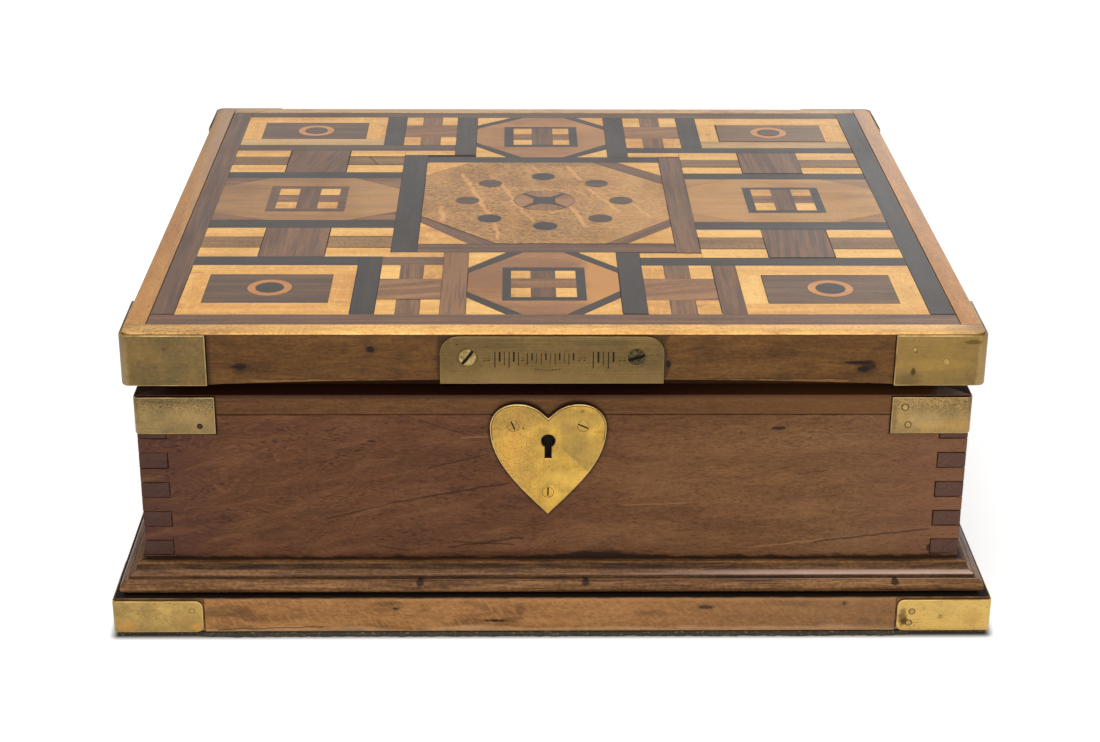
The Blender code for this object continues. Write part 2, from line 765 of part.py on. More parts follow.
def build():
    build_felt()
    base = build_base()
    walls = build_walls()
    rims = build_rim()
    build_moulding()
    lids = build_lid()
    build_lid_top()
    build_straps(
        "lid",
        (lid_width / 2, lid_depth / 2),
        LID_STRAP_PROUD,
        LID_STRAP_THICKNESS,
        LID_STRAP_RADIUS,
        (LID_STRAP_ARM_LEFT, LID_STRAP_ARM_RIGHT, LID_STRAP_ARM_SIDE),
        lid_bottom,
        lid_top,
        lids.values(),
    )
    body_strap_top = ledge - BODY_STRAP_BELOW_LEDGE
    build_straps(
        "body",
        (BODY_WIDTH / 2, BODY_DEPTH / 2),
        BODY_STRAP_PROUD,
        BODY_STRAP_THICKNESS,
        BODY_STRAP_RADIUS,
        (BODY_STRAP_ARM,) * 3,
        body_strap_top - BODY_STRAP_HEIGHT,
        body_strap_top,
        [*walls.values(), *rims.values()],
    )
    base_strap_low = base_bottom + BASE_STRAP_LIFT
    build_straps(
        "base",
        (base_width / 2, base_depth / 2),
        BASE_STRAP_PROUD,
        BASE_STRAP_THICKNESS,
        BASE_STRAP_RADIUS,
        (BASE_STRAP_ARM_LEFT, BASE_STRAP_ARM_RIGHT, BASE_STRAP_ARM_SIDE),
        base_strap_low,
        base_strap_low + BASE_STRAP_HEIGHT,
        [base],
        BASE_STRAP_END_RADIUS,
    )
    build_escutcheon(walls["front"], rims["front"])
    build_name_plate(lids["front"])


build()
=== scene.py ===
# %% [markdown]
# A humidor with an inlaid lid, for a reader who is learning Blender. The solids of the box already exist.
# They come in as a fixed frame, in metres, with the front facing -Y and the table at z = 0. This script
# gives each board, strap and screw its worn edges and its finish, and lays the lid's picture in real pieces
# of veneer.

# %% Load the frame
import math
import random

import bmesh
import bpy
from mathutils import Matrix, Vector, noise
from mathutils.bvhtree import BVHTree


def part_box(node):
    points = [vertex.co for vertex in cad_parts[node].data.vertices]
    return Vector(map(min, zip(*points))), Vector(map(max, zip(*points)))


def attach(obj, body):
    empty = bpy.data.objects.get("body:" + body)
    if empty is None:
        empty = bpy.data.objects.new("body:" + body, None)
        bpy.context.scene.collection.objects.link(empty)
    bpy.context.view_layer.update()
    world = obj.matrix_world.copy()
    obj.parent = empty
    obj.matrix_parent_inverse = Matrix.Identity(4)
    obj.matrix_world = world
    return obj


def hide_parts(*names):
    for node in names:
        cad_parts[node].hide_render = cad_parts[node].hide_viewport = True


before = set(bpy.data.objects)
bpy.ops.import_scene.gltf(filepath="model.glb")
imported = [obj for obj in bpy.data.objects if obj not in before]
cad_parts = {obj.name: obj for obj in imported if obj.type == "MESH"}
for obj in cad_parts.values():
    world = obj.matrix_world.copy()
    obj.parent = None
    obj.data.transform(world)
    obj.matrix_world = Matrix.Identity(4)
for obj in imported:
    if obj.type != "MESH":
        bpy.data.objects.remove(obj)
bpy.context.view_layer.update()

MM = 0.001

# %% [markdown]
# The camera stands where the photographer stood, a metre in front of the box and looking down on it. Its
# lens and place come from the lines of the box in the picture. A camera looks along its own -Z, so its
# matrix is made from the three directions right, up and backwards.

# %% Camera
PHOTO_WIDTH = 1100
FOCAL_LENGTH = 2149.4  # in pixels of the photograph
SENSOR_WIDTH = 36.0
EYE = Vector((-0.01668, -0.98468, 0.47492))
PITCH = math.radians(23.29)
YAW = math.radians(-1.03)
ROLL = math.radians(0.38)


def make_camera():
    data = bpy.data.cameras.new("camera")
    data.sensor_width = SENSOR_WIDTH
    data.lens = SENSOR_WIDTH * FOCAL_LENGTH / PHOTO_WIDTH
    data.clip_start = 0.01
    camera = bpy.data.objects.new("camera", data)
    turned = Matrix.Rotation(YAW, 4, "Z") @ Matrix.Rotation(math.pi / 2 - PITCH, 4, "X")
    camera.matrix_world = Matrix.Translation(EYE) @ turned @ Matrix.Rotation(ROLL, 4, "Z")
    bpy.context.scene.collection.objects.link(camera)
    bpy.context.scene.camera = camera
    return camera


camera = make_camera()
print("lens:", round(camera.data.lens, 2), "mm")

# %% [markdown]
# A material in Blender is a graph of nodes. Written out node by node it is long and hard to read, so two
# small classes help. Wire stands for one output, and sums written on it add the Math nodes. Finish is the
# material under construction: its add method makes any node from its type, its settings and what goes into
# its sockets. It also holds the colour reached so far, and each coat lays another colour over part of it,
# as a polisher works.

# %% Two classes for writing materials


class Wire:
    """One output of a node. Sums on it add Math nodes."""

    def __init__(self, finish, socket):
        self.finish = finish
        self.socket = socket

    def maths(self, operation, first, second=0.0):
        return self.finish.add("ShaderNodeMath", {"operation": operation}, {0: first, 1: second})

    def __add__(self, other):
        return self.maths("ADD", self, other)

    def __sub__(self, other):
        return self.maths("SUBTRACT", self, other)

    def __rsub__(self, other):
        return self.maths("SUBTRACT", other, self)

    def __mul__(self, other):
        return self.maths("MULTIPLY", self, other)

    def __truediv__(self, other):
        return self.maths("DIVIDE", self, other)

    def __pow__(self, other):
        return self.maths("POWER", self, other)

    def __abs__(self):
        return self.maths("ABSOLUTE", self)

    __radd__ = __add__
    __rmul__ = __mul__


class Finish:
    """A material under construction."""

    def __init__(self, name):
        self.material = bpy.data.materials.new(name)
        self.material.use_nodes = True
        self.tree = self.material.node_tree
        self.shader = self.tree.nodes["Principled BSDF"]
        self.colour = None

    def plug(self, socket, value):
        if isinstance(value, Wire):
            self.tree.links.new(value.socket, socket)
        else:
            socket.default_value = value

    def add(self, kind, settings=None, inputs=None, output=0):
        node = self.tree.nodes.new(kind)
        for setting, value in (settings or {}).items():
            if setting == "stops":
                self.set_stops(node.color_ramp.elements, value)
            else:
                setattr(node, setting, value)
        for socket, value in (inputs or {}).items():
            self.plug(node.inputs[socket], value)
        return Wire(self, node.outputs[output])

    def set_stops(self, elements, stops):
        """Colours spread evenly along a ramp."""
        while len(elements) < len(stops):
            elements.new(1.0)
        for index, (element, colour) in enumerate(zip(elements, stops)):
            element.position = index / (len(stops) - 1)
            element.color = colour

    def ramp(self, value, *stops):
        return self.add("ShaderNodeValToRGB", {"stops": stops}, {"Fac": value})

    def mix(self, amount, first, second, kind="MIX"):
        """Colour first where amount is 0, and second where it is 1."""
        settings = {"data_type": "RGBA", "blend_type": kind}
        return self.add("ShaderNodeMix", settings, {0: amount, 6: first, 7: second}, 2)

    def coat(self, mask, colour):
        """Lays a colour over the finish where the mask is 1."""
        self.colour = self.mix(mask, self.colour, colour)

    def vector(self, x, y, z):
        return self.add("ShaderNodeCombineXYZ", inputs={0: x, 1: y, 2: z})

    def split(self, vector):
        node = self.add("ShaderNodeSeparateXYZ", inputs={0: vector}).socket.node
        return [Wire(self, output) for output in node.outputs]

    def noise(self, x, y, z, detail=2.0, roughness=0.5):
        """Cloudy noise around 0.5 whose lumps are about one unit across."""
        inputs = {"Vector": self.vector(x, y, z), "Scale": 1.0, "Detail": detail, "Roughness": roughness}
        return self.add("ShaderNodeTexNoise", inputs=inputs)

    def step(self, value, low, high):
        """0 below low and 1 above high, or the other way round where low is the larger."""
        inputs = {"Value": value, "From Min": low, "From Max": high}
        return self.add("ShaderNodeMapRange", {"interpolation_type": "SMOOTHSTEP"}, inputs)

    def spots(self, place, low, high, detail=2.0, roughness=0.5):
        """1 where cloudy noise rises above high, and 0 where it lies below low."""
        return self.step(self.noise(*place, detail, roughness), low, high)

    def object_axes(self):
        """x, y and z in millimetres."""
        place = self.add("ShaderNodeTexCoord", output="Object")
        return [axis * 1000 for axis in self.split(place)]

    def bump(self, height, millimetres, strength=1.0):
        inputs = {"Height": height, "Distance": millimetres * MM, "Strength": strength}
        return self.add("ShaderNodeBump", inputs=inputs)

    def done(self, roughness, normal=None, **constants):
        """Wires the shader. A constant is a number that is the same all over."""
        self.plug(self.shader.inputs["Base Color"], self.colour)
        self.plug(self.shader.inputs["Roughness"], roughness)
        if normal is not None:
            self.plug(self.shader.inputs["Normal"], normal)
        for name, value in constants.items():
            self.shader.inputs[name.replace("_", " ")].default_value = value
        return self.material


def paint(red, green, blue):
    """A colour as an eyedropper reads it off a screen, made linear for the shader."""
    def linear(value):
        share = value / 255
        return share / 12.92 if share <= 0.04045 else ((share + 0.055) / 1.055) ** 2.4

    return (linear(red), linear(green), linear(blue), 1.0)


print("a mid grey of 128 is", round(paint(128, 128, 128)[0], 3), "in linear light")

# %% [markdown]
# The studio is a lit white table, as for a catalogue picture, under a white sky. A soft key light hangs
# close over the front of the lid, so the light falls off towards its back. A wide fill stands behind the
# camera. A bright card behind the box is not in the picture but in the polish: seen at a low angle, the lid
# mirrors a tenth and more of it, and this greys the dark veneers towards the back. A smaller card does the
# same on the right. The table glows a little, so that no shadow greys it, and the standard view transform
# keeps it white. Only a narrow strip round the foot is painted darker, where hardly any light gets in.

# %% Studio
FLOOR_SIZE = 60.0
FLOOR_DROP = 0.0002
TABLE_GLOW = 0.46
SKY_STRENGTH = 0.52
SHADOW_WIDTH = 6.0
LIGHTS = {
    # name: place, target, width and height in metres, watts
    "key": ((-0.15, -0.45, 1.05), (0, 0, 0.12), (0.9, 0.7), 7.0),
    "fill": ((0.2, -2.1, 0.95), (0, 0, 0.07), (1.8, 1.0), 18),
    "back_card": ((0.75, 2.3, 0.5), (0.1, 0.2, 0.1), (3.4, 1.0), 9),
    "right_card": ((0.95, 2.0, 0.42), (0.1, 0.1, 0.12), (1.1, 0.8), 3.5),
}


def make_floor():
    model = bmesh.new()
    bmesh.ops.create_grid(model, x_segments=1, y_segments=1, size=FLOOR_SIZE / 2)
    bmesh.ops.translate(model, verts=model.verts, vec=(0, 0, -FLOOR_DROP))
    mesh = bpy.data.meshes.new("floor")
    model.to_mesh(mesh)
    model.free()
    floor = bpy.data.objects.new("floor", mesh)
    bpy.context.scene.collection.objects.link(floor)
    finish = Finish("table")
    x, y, z = finish.object_axes()
    cloud = finish.noise(x / 300, y / 300, z)
    finish.colour = finish.mix(cloud, paint(222, 222, 222), paint(228, 228, 228))
    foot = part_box("felt")[1]
    beside_foot = finish.step(abs(x) - foot[0] / MM, SHADOW_WIDTH, 0.0)
    before_foot = finish.step(abs(y) - foot[1] / MM, SHADOW_WIDTH, 0.0)
    contact = beside_foot * before_foot
    finish.coat(contact, paint(90, 84, 76))
    finish.plug(finish.shader.inputs["Emission Color"], finish.mix(contact, (1, 1, 1, 1), (0, 0, 0, 1)))
    mesh.materials.append(finish.done(0.9, Specular_IOR_Level=0.2, Emission_Strength=TABLE_GLOW))


def make_light(name, place, target, size, watts):
    data = bpy.data.lights.new(name, "AREA")
    data.shape = "RECTANGLE"
    data.size, data.size_y = size
    data.energy = watts
    light = bpy.data.objects.new(name, data)
    place = Vector(place)
    turned = (Vector(target) - place).to_track_quat("-Z", "Y").to_matrix().to_4x4()
    light.matrix_world = Matrix.Translation(place) @ turned
    bpy.context.scene.collection.objects.link(light)


def make_sky():
    world = bpy.data.worlds.new("sky")
    world.use_nodes = True
    background = world.node_tree.nodes["Background"]
    background.inputs["Color"].default_value = (1, 1, 1, 1)
    background.inputs["Strength"].default_value = SKY_STRENGTH
    bpy.context.scene.world = world


make_floor()
make_sky()
for name, (place, target, size, watts) in LIGHTS.items():
    make_light(name, place, target, size, watts)
bpy.context.scene.view_settings.view_transform = "Standard"
print("lights:", list(LIGHTS))

# %% [markdown]
# Old boards never have knife-sharp edges. Each solid of the frame is copied, its loose triangles are merged
# back into flat sides, and its sharp edges get a narrow bevel. The bevel's faces take a second material, a
# brighter or darker version of the first, because wear shows there first.

# %% Copies with worn edges
MERGE_DISTANCE = 1e-6
FLAT_WITHIN = math.radians(1.0)
SHARP_FROM = math.radians(28)


def traced(*names):
    """One bmesh of these solids, merged back into flat sides."""
    model = bmesh.new()
    for name in names:
        model.from_mesh(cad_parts[name].data)
    bmesh.ops.remove_doubles(model, verts=model.verts, dist=MERGE_DISTANCE)
    bmesh.ops.dissolve_limit(model, angle_limit=FLAT_WITHIN, verts=model.verts, edges=model.edges)
    bmesh.ops.recalc_face_normals(model, faces=model.faces)
    for face in model.faces:
        face.material_index = 0
    return model


def ease(model, width, segments=2, wanted=None):
    """Bevels the outer sharp edges, and gives the bevel's faces the second material."""
    edges = []
    for edge in model.edges:
        if len(edge.link_faces) == 2 and edge.is_convex and edge.calc_face_angle() > SHARP_FROM:
            if wanted is None or wanted(edge):
                edges.append(edge)
    made = bmesh.ops.bevel(
        model,
        geom=edges,
        offset=width,
        segments=segments,
        profile=0.5,
        affect="EDGES",
        material=-1,
        clamp_overlap=True,
    )
    for face in made["faces"]:
        face.material_index = 1


def show(model, name, slot, materials, *nodes):
    """Makes a bmesh a piece of the box, in the place of the named solids."""
    mesh = bpy.data.meshes.new(name)
    model.to_mesh(mesh)
    model.free()
    mesh.shade_smooth()
    mesh.set_sharp_from_angle(angle=SHARP_FROM)
    for material in materials:
        mesh.materials.append(material)
    piece = bpy.data.objects.new(name, mesh)
    bpy.context.scene.collection.objects.link(piece)
    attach(piece, "root")
    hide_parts(*nodes)
    return piece


print("edges under", round(math.degrees(SHARP_FROM)), "degrees stay smooth")

# %% [markdown]
# Wood is a bundle of fibres. Noise that is stretched along the grain gives its bands, its fine streaks and
# its pores, and because the noise is solid, the ends of a board show end grain by themselves. A slow sway
# bends the bands, as they bend where a branch once was. All the woods of the box share these masks.

# %% The grain of a board


def board_axes(finish, run, shift=0.0):
    """Millimetres along the board, across it and up."""
    x, y, z = finish.object_axes()
    if run == "x":
        return x + shift, y, z
    return y + shift, x, z


def grain(finish, along, across, up, sway=8.0, band=7.0, streak=0.9, pore=0.42, length=9.0):
    """Bands, streaks and pores as masks from 0 to 1. The sizes are widths in millimetres."""
    bend = (finish.noise(along / 70, across / 40, up / 26, 2) - 0.5) * sway
    across = across + bend
    up = up + bend
    bands = finish.spots((along / 90, across / band, up / band), 0.3, 0.7, 2)
    fibres = finish.noise(along / length, across / streak, up / streak, 3, 0.6)
    mottle = finish.noise(along / 1.9, across / 1.1, up / 1.1, 2, 0.6)
    streaks = finish.step(fibres * 0.55 + mottle * 0.45, 0.34, 0.66)
    pores = finish.spots((along / 2.4, across / pore, up / pore), 0.6, 0.74, 1)
    return bands, streaks, pores


def most(finish, *masks):
    """The strongest of several masks at each point."""
    strongest = masks[0]
    for mask in masks[1:]:
        strongest = finish.add("ShaderNodeMath", {"operation": "MAXIMUM"}, {0: strongest, 1: mask})
    return strongest


def end_on(finish, run):
    """1 on faces that cut across the grain."""
    facing = finish.split(finish.add("ShaderNodeTexCoord", output="Normal"))
    return finish.step(abs(facing[0 if run == "x" else 1]), 0.6, 0.8)


def facing_up(finish, low=0.4, high=0.8):
    """1 on faces that look up."""
    facing = finish.split(finish.add("ShaderNodeTexCoord", output="Normal"))
    return finish.step(facing[2], low, high)


print("grain masks: bands, streaks and pores")

# %% [markdown]
# Marks that sit in one place need masks of another kind. A patch is a ragged oval, a line runs from one
# point to another, and contours are the thin dark lines that the growth rings draw where a board's surface
# cuts them at a slant.

# %% Marks in one place


def patch(finish, axes, centre, size, ragged=0.8, soft=0.5):
    """1 in a ragged oval and 0 outside it. axes, centre and size hold the same two or three directions."""
    far = 0.0
    for axis, middle, reach in zip(axes, centre, size):
        far = ((axis - middle) / reach) ** 2 + far
    lumps = finish.noise(*[axis / (min(size) * 1.3) for axis in axes[:2]], 3.0, 2)
    return finish.step(far + (lumps - 0.5) * 2 * ragged, 1 + soft, 1 - soft)


def line(finish, along, up, start, end, width):
    """1 on a thin line between two points, in millimetres."""
    (x0, z0), (x1, z1) = start, end
    share = (along - x0) / (x1 - x0)
    ends = finish.step(abs(share - 0.5), 0.5, 0.46)
    off = up - z0 - share * (z1 - z0) + (finish.noise(along / 7, up / 7, 1.0, 2) - 0.5) * width * 3
    return finish.step(abs(off), width, width * 0.3) * ends


def contours(finish, field, count, width):
    """Thin lines where a smooth field passes even steps."""
    saw = finish.add("ShaderNodeMath", {"operation": "PINGPONG"}, {0: field * count, 1: 0.5})
    return finish.step(saw * 2, width, 0.0)


def beside(finish, along, edge, width):
    """1 at a line across the board, fading within a width to both sides."""
    return finish.step(abs(abs(along) - edge), width, 0.0)


print("marks: patch, line, contours and beside")

# %% [markdown]
# The walls are one reddish brown hardwood, a little redder at the ends of the front. Along the foot and
# round the heart-shaped plate they are darkened with dirt and painted shade, and beside the straps with
# painted shadow. How far each point of the front wall lies from that plate is kept in its mesh, as the
# attribute near_heart, and the finish reads it there. The finger joints show the ends of the side walls,
# which drank more polish and went dark.

# %% Wood of the walls
WALL_DARK = (paint(66, 38, 23), paint(86, 53, 33), paint(102, 66, 42))
WALL_PALE = (paint(76, 47, 27), paint(98, 65, 38), paint(116, 80, 49))
WALL_PALEST = (paint(82, 53, 33), paint(107, 75, 48), paint(126, 92, 60))
WALL_ENDS = (paint(70, 42, 35), paint(107, 68, 50))
PIN_ENDS = {"left": paint(64, 44, 38), "right": paint(82, 59, 50)}
# A dark brown for knots, dirt and painted shade.
GRIME_AND_SHADE = paint(26, 17, 11)
WALL_KNOTS = (
    # centre along X and Z, size along X and Z
    (-77.5, 87.0, 1.5, 0.5),
    (95.5, 93.0, 3.0, 0.8),
    (-164.8, 48.8, 0.8, 1.8),
    (-165.2, 35.4, 1.0, 2.0),
    (163.4, 35.8, 1.1, 1.9),
)
WALL_STREAKS = (
    # left end and right end, each as X and Z, and width
    ((-72, 57.2), (-18, 67.6), 0.6),
    ((-98, 50.2), (-70, 57.4), 0.45),
    ((-54, 74.3), (-27, 81.0), 0.4),
    ((-58, 96.9), (-33, 88.9), 0.4),
    ((-46, 36.0), (-12, 41.2), 0.7),
    ((-44, 39.0), (-16, 37.4), 0.5),
    ((-77, 37.5), (-62, 34.4), 0.5),
    ((-88, 42.0), (-84, 51.0), 0.5),
    ((112, 38.5), (164, 45.0), 0.6),
    ((104, 71.2), (118, 73.2), 0.3),
)
WALL_SCRATCHES = (
    ((29, 56.6), (58, 57.4), 0.4),
    ((84, 35.6), (118, 39.8), 0.6),
    ((-40, 88.5), (-20, 89.5), 0.4),
)
HALO = 1.7
WOOD_GLOSS = 0.1


def front_marks(finish, x, z):
    """Adds the knots, streaks and scratches of the front wall."""
    for centre_x, centre_z, size_x, size_z in WALL_KNOTS:
        knot = patch(finish, (x, z), (centre_x, centre_z), (size_x, size_z))
        finish.coat(knot * 0.8, GRIME_AND_SHADE)
    for start, end, width in WALL_STREAKS:
        finish.coat(line(finish, x, z, start, end, width) * 0.6, GRIME_AND_SHADE)
    for start, end, width in WALL_SCRATCHES:
        finish.coat(line(finish, x, z, start, end, width) * 0.3, paint(158, 114, 78))


def wall_wood(side, run):
    finish = Finish(f"wall_wood_{side}")
    along, across, up = board_axes(finish, run)
    bands, streaks, pores = grain(finish, along, across, up, sway=26, band=9)
    tone = bands * 0.3 + streaks * 0.46 + 0.12
    pale_side = finish.step(along + (bands - 0.5) * 30, -60, 90)
    finish.colour = finish.mix(pale_side, finish.ramp(tone, *WALL_DARK), finish.ramp(tone, *WALL_PALE))
    finish.coat(finish.step(along, 70, 140) * 0.8, finish.ramp(tone, *WALL_PALEST))
    finish.coat(finish.step(along, -130, -170) * 0.65, WALL_ENDS[0])
    finish.coat(finish.step(along, 112, 168) * 0.5, WALL_ENDS[1])
    field = finish.noise(along / 60, across / 40, up / 22, 1)
    rings = contours(finish, field, 26, 0.32)
    where = finish.step(along, -60, -120) * 0.75 + finish.step(field, 0.55, 0.65) * 0.3
    finish.coat(rings * streaks * where * 0.6, paint(52, 30, 20))
    broken = finish.spots((along / 3.2, across / 2, up / 3.2), 0.48, 0.62, 2, 0.6)
    pale_rings = contours(finish, field + 0.012, 26, 0.2) * broken
    finish.coat(pale_rings * where * 0.26, paint(140, 92, 58))
    finish.coat(pores * 0.55, paint(44, 25, 16))
    dash = finish.spots((along / 2.6, across / 0.5, up / 0.4), 0.57, 0.65, 1)
    cluster = finish.spots((along / 26, across / 20, (up - along * 0.25) / 8), 0.46, 0.6, 2)
    dash = dash * (finish.step(along, 150, 90) * 0.2 + finish.step(along, 20, -40) * 0.35 + 0.2)
    finish.coat(dash * cluster, paint(38, 22, 14))
    sheen = finish.spots((along / 30, across / 20, (up - along * 0.25) / 5 + 9), 0.5, 0.7, 3)
    finish.coat(sheen * 0.22, paint(128, 86, 54))
    end = end_on(finish, run)
    end_rings = contours(finish, finish.noise(along / 7, across / 9, up / 5, 1), 12, 0.5)
    finish.coat(end * 0.75, PIN_ENDS.get(side, PIN_ENDS["left"]))
    finish.coat(end * end_rings * 0.35, paint(40, 27, 23))
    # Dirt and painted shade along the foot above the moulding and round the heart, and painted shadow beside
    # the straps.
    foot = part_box("moulding_front")[1][2] / MM
    ragged = finish.noise(along / 9, across / 8, up / 3, 3)
    smudge = finish.step(abs(along - 20), 26, 4) * 2.2
    dirt_and_shade = finish.step(up - foot + (ragged - 0.5) * 5 - smudge, 1.8, 0.1) * 0.85
    strap = abs(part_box("body_strap_front_left")[1][0]) / MM
    strap_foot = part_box("body_strap_front_left")[0][2] / MM
    level = finish.step(up, strap_foot - 1.2, strap_foot)
    dirt_and_shade = most(finish, dirt_and_shade, beside(finish, along, strap, 1.4) * level * 0.7)
    if side == "front":
        far = finish.add("ShaderNodeAttribute", {"attribute_name": "near_heart"}, output="Fac")
        halo = finish.step(far + (ragged - 0.5) * 1.2, HALO, 0.0)
        dirt_and_shade = most(finish, dirt_and_shade, halo * 0.8)
        front_marks(finish, along, up)
    finish.coat(dirt_and_shade, GRIME_AND_SHADE)
    roughness = 0.42 + streaks * 0.1 + dirt_and_shade * 0.2
    height = streaks * 0.4 - pores
    return finish.done(roughness, finish.bump(height, 0.06), Specular_IOR_Level=WOOD_GLOSS)


SIDES = {"front": "x", "back": "x", "left": "y", "right": "y"}
wall_woods = {side: wall_wood(side, run) for side, run in SIDES.items()}
print("wall wood:", list(wall_woods))

# %% [markdown]
# A worn edge of wood is paler and smoother than the board. One plain material serves each wood's edges: the
# board's middle colour, lightened, with the same streaks at a finer size. The rim's edges are dark instead,
# painted shade under the lid.

# %% Worn edges of wood
WALL_EDGE_WIDTH = 0.2 * MM
HALO_REACH = 3 * MM
HALO_STEP = 1 * MM
POCKET_REACH = 4 * MM


def edge_wood(name, dark, pale):
    finish = Finish(name)
    x, y, z = finish.object_axes()
    wear = finish.spots((x / 9, y / 9, z / 3), 0.35, 0.65, 3)
    finish.colour = finish.mix(wear, dark, pale)
    return finish.done(0.4, Specular_IOR_Level=WOOD_GLOSS)


def dark_finish(name, first, second):
    finish = Finish(name)
    x, y, z = finish.object_axes()
    finish.colour = finish.mix(finish.noise(x, y, z), first, second)
    return finish.done(0.8, Specular_IOR_Level=0.2)


def refine(name, slot, materials, width, segments=2):
    """A copy of one solid with worn edges, in its place."""
    model = traced(name)
    ease(model, width, segments)
    return show(model, name + "_worn", slot, materials, name)


def front_wall(materials):
    """The front wall, cut fine round the heart, so that each point there knows how far away the heart is."""
    model = traced("wall_front")
    ease(model, WALL_EDGE_WIDTH, 1)
    low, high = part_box("escutcheon")
    for axis, normal in ((0, (1, 0, 0)), (2, (0, 0, 1))):
        cuts = int((high[axis] - low[axis] + 2 * HALO_REACH) / HALO_STEP)
        for index in range(cuts):
            place = [0.0, 0.0, 0.0]
            place[axis] = low[axis] - HALO_REACH + index * HALO_STEP
            whole = model.verts[:] + model.edges[:] + model.faces[:]
            bmesh.ops.bisect_plane(model, geom=whole, plane_co=place, plane_no=normal)
    heart = traced("escutcheon")
    tree = BVHTree.FromBMesh(heart)
    heart.free()
    layer = model.verts.layers.float.new("near_heart")
    for vertex in model.verts:
        vertex[layer] = tree.find_nearest(vertex.co)[3] / MM
    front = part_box("wall_front")[0][1]
    for face in model.faces:
        x, y, z = face.calc_center_median()
        # The faces of the pocket behind the heart take the dark material, painted shade.
        behind_heart = low[0] < x < high[0] and low[2] < z < high[2]
        if behind_heart and front + MERGE_DISTANCE < y < front + POCKET_REACH:
            face.material_index = 2
    return show(model, "wall_front_worn", "wall_wood", materials, "wall_front")


# Dark material for dirt in the screws' slots, and painted shade in the keyhole and the pocket behind it.
hole_dirt_and_shade = dark_finish("hole_dirt_and_shade", paint(8, 6, 4), paint(24, 17, 11))
wall_edge = edge_wood("wall_edge", paint(50, 30, 20), paint(92, 60, 40))
for side, wood in wall_woods.items():
    if side == "front":
        front_wall((wood, wall_edge, hole_dirt_and_shade))
    else:
        refine(f"wall_{side}", "wall_wood", (wood, wall_edge), WALL_EDGE_WIDTH, 1)
print("walls with worn edges:", list(SIDES))

# %% [markdown]
# The rim strip, the lid boards and the base board come from a browner board with small knots. A knot is a
# dark spot that the grain swells around. Knots are placed in millimetres on the front, where the picture
# shows them, and the other sides get only the board's own figure. The shelf of the rim and the top of its
# front are painted dark as the shade under the lid. Painted shadow lies beside the straps and on the base
# under the moulding's nose.

# %% Brown boards
RIM_BROWN = (paint(64, 38, 19), paint(88, 57, 29), paint(106, 71, 38))
LID_BROWN = (paint(62, 38, 18), paint(88, 58, 27), paint(108, 74, 36))
BASE_BROWN = (paint(106, 69, 37), paint(139, 96, 54), paint(160, 116, 70))
SLIVER = paint(128, 90, 50)
# Painted shade on the rim, under the lid and beside its straps.
RIM_SHADE = paint(52, 25, 13)
LID_KNOTS = (
    # centre along X and Z, size along X and Z
    (-130.5, 123.3, 2.6, 1.7),
    (-131.0, 123.1, 4.0, 0.6),
    (-76.5, 131.0, 1.7, 1.4),
    (131.0, 123.8, 3.0, 2.3),
    (47.4, 124.4, 1.0, 1.7),
    (126.4, 124.9, 5.6, 0.8),
    (128.8, 121.9, 2.4, 1.3),
)
BASE_KNOTS = (
    (66.3, 13.8, 3.6, 0.9),
    (-25.0, 7.4, 5.0, 0.6),
    (-67.8, 13.4, 1.3, 0.6),
    (-86.0, 2.9, 4.4, 0.8),
    (126.0, 15.6, 0.9, 1.1),
)
LID_SLIVERS = ((-127, -64.5), (61, 124))
SLIVER_UP = 2.4
HEART_LOBES = ((-14.7, 92.4), (9.9, 92.4))
LOBE_SIZE = (13.6, 13.6)
OTHER_GRAIN = 431.0
BOARD_EDGE_WIDTH = 0.3 * MM
BASE_EDGE_WIDTH = 0.5 * MM


def brown_board(name, run, colours, knots=(), sway=10.0, band=6.0, marks=None, dirt_and_shade=GRIME_AND_SHADE, length=9.0):
    """A board with knots. marks is a function that gives a mask for the grime and painted shade."""
    finish = Finish(name)
    along, across, up = board_axes(finish, run, 0.0 if run == "x" else OTHER_GRAIN)
    bands, streaks, pores = grain(finish, along, across, up, sway, band, length=length)
    tone = bands * 0.3 + streaks * 0.46 + 0.12
    finish.colour = finish.ramp(tone, *colours)
    finish.coat(pores * 0.5, colours[0])
    finish.coat(end_on(finish, run) * 0.6, colours[0])
    for centre_x, centre_z, size_x, size_z in knots:
        swollen = patch(finish, (along, up), (centre_x, centre_z), (size_x * 1.7, size_z * 1.9))
        finish.coat(swollen * 0.35, colours[0])
        knot = patch(finish, (along, up), (centre_x, centre_z), (size_x, size_z))
        finish.coat(knot * 0.95, GRIME_AND_SHADE)
    finish.coat(marks(finish, along, across, up) if marks else 0.0, dirt_and_shade)
    roughness = 0.42 + streaks * 0.1
    height = streaks * 0.4 - pores
    finish.along, finish.up, finish.roughness = along, up, roughness
    finish.normal = finish.bump(height, 0.05)
    return finish


def finished(finish):
    return finish.done(finish.roughness, finish.normal, Specular_IOR_Level=WOOD_GLOSS)


def lid_marks(finish, along, across, up):
    """Dirt and painted shade round the name plate, painted shadow beside the straps, and smudges left by
    hands.
    """
    low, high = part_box("name_plate")
    from_middle = abs(along - (low[0] + high[0]) / 2 / MM)
    past_x = from_middle - (high[0] - low[0]) / 2 / MM
    ragged = finish.noise(along / 5, up / 5, 2.0, 3)
    round_plate = finish.step(past_x + (ragged - 0.5) * 5, 2.4, 0.2) * finish.step(across, 0, -20) * 0.6
    # Painted shadow beside the straps.
    strap = beside(finish, along, abs(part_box("lid_strap_front_left")[1][0]) / MM, 2.6) * 0.6
    smudge = finish.spots((along / 18, across / 20, up / 9), 0.48, 0.74, 4, 0.6) * 0.4
    return most(finish, round_plate, strap, smudge)


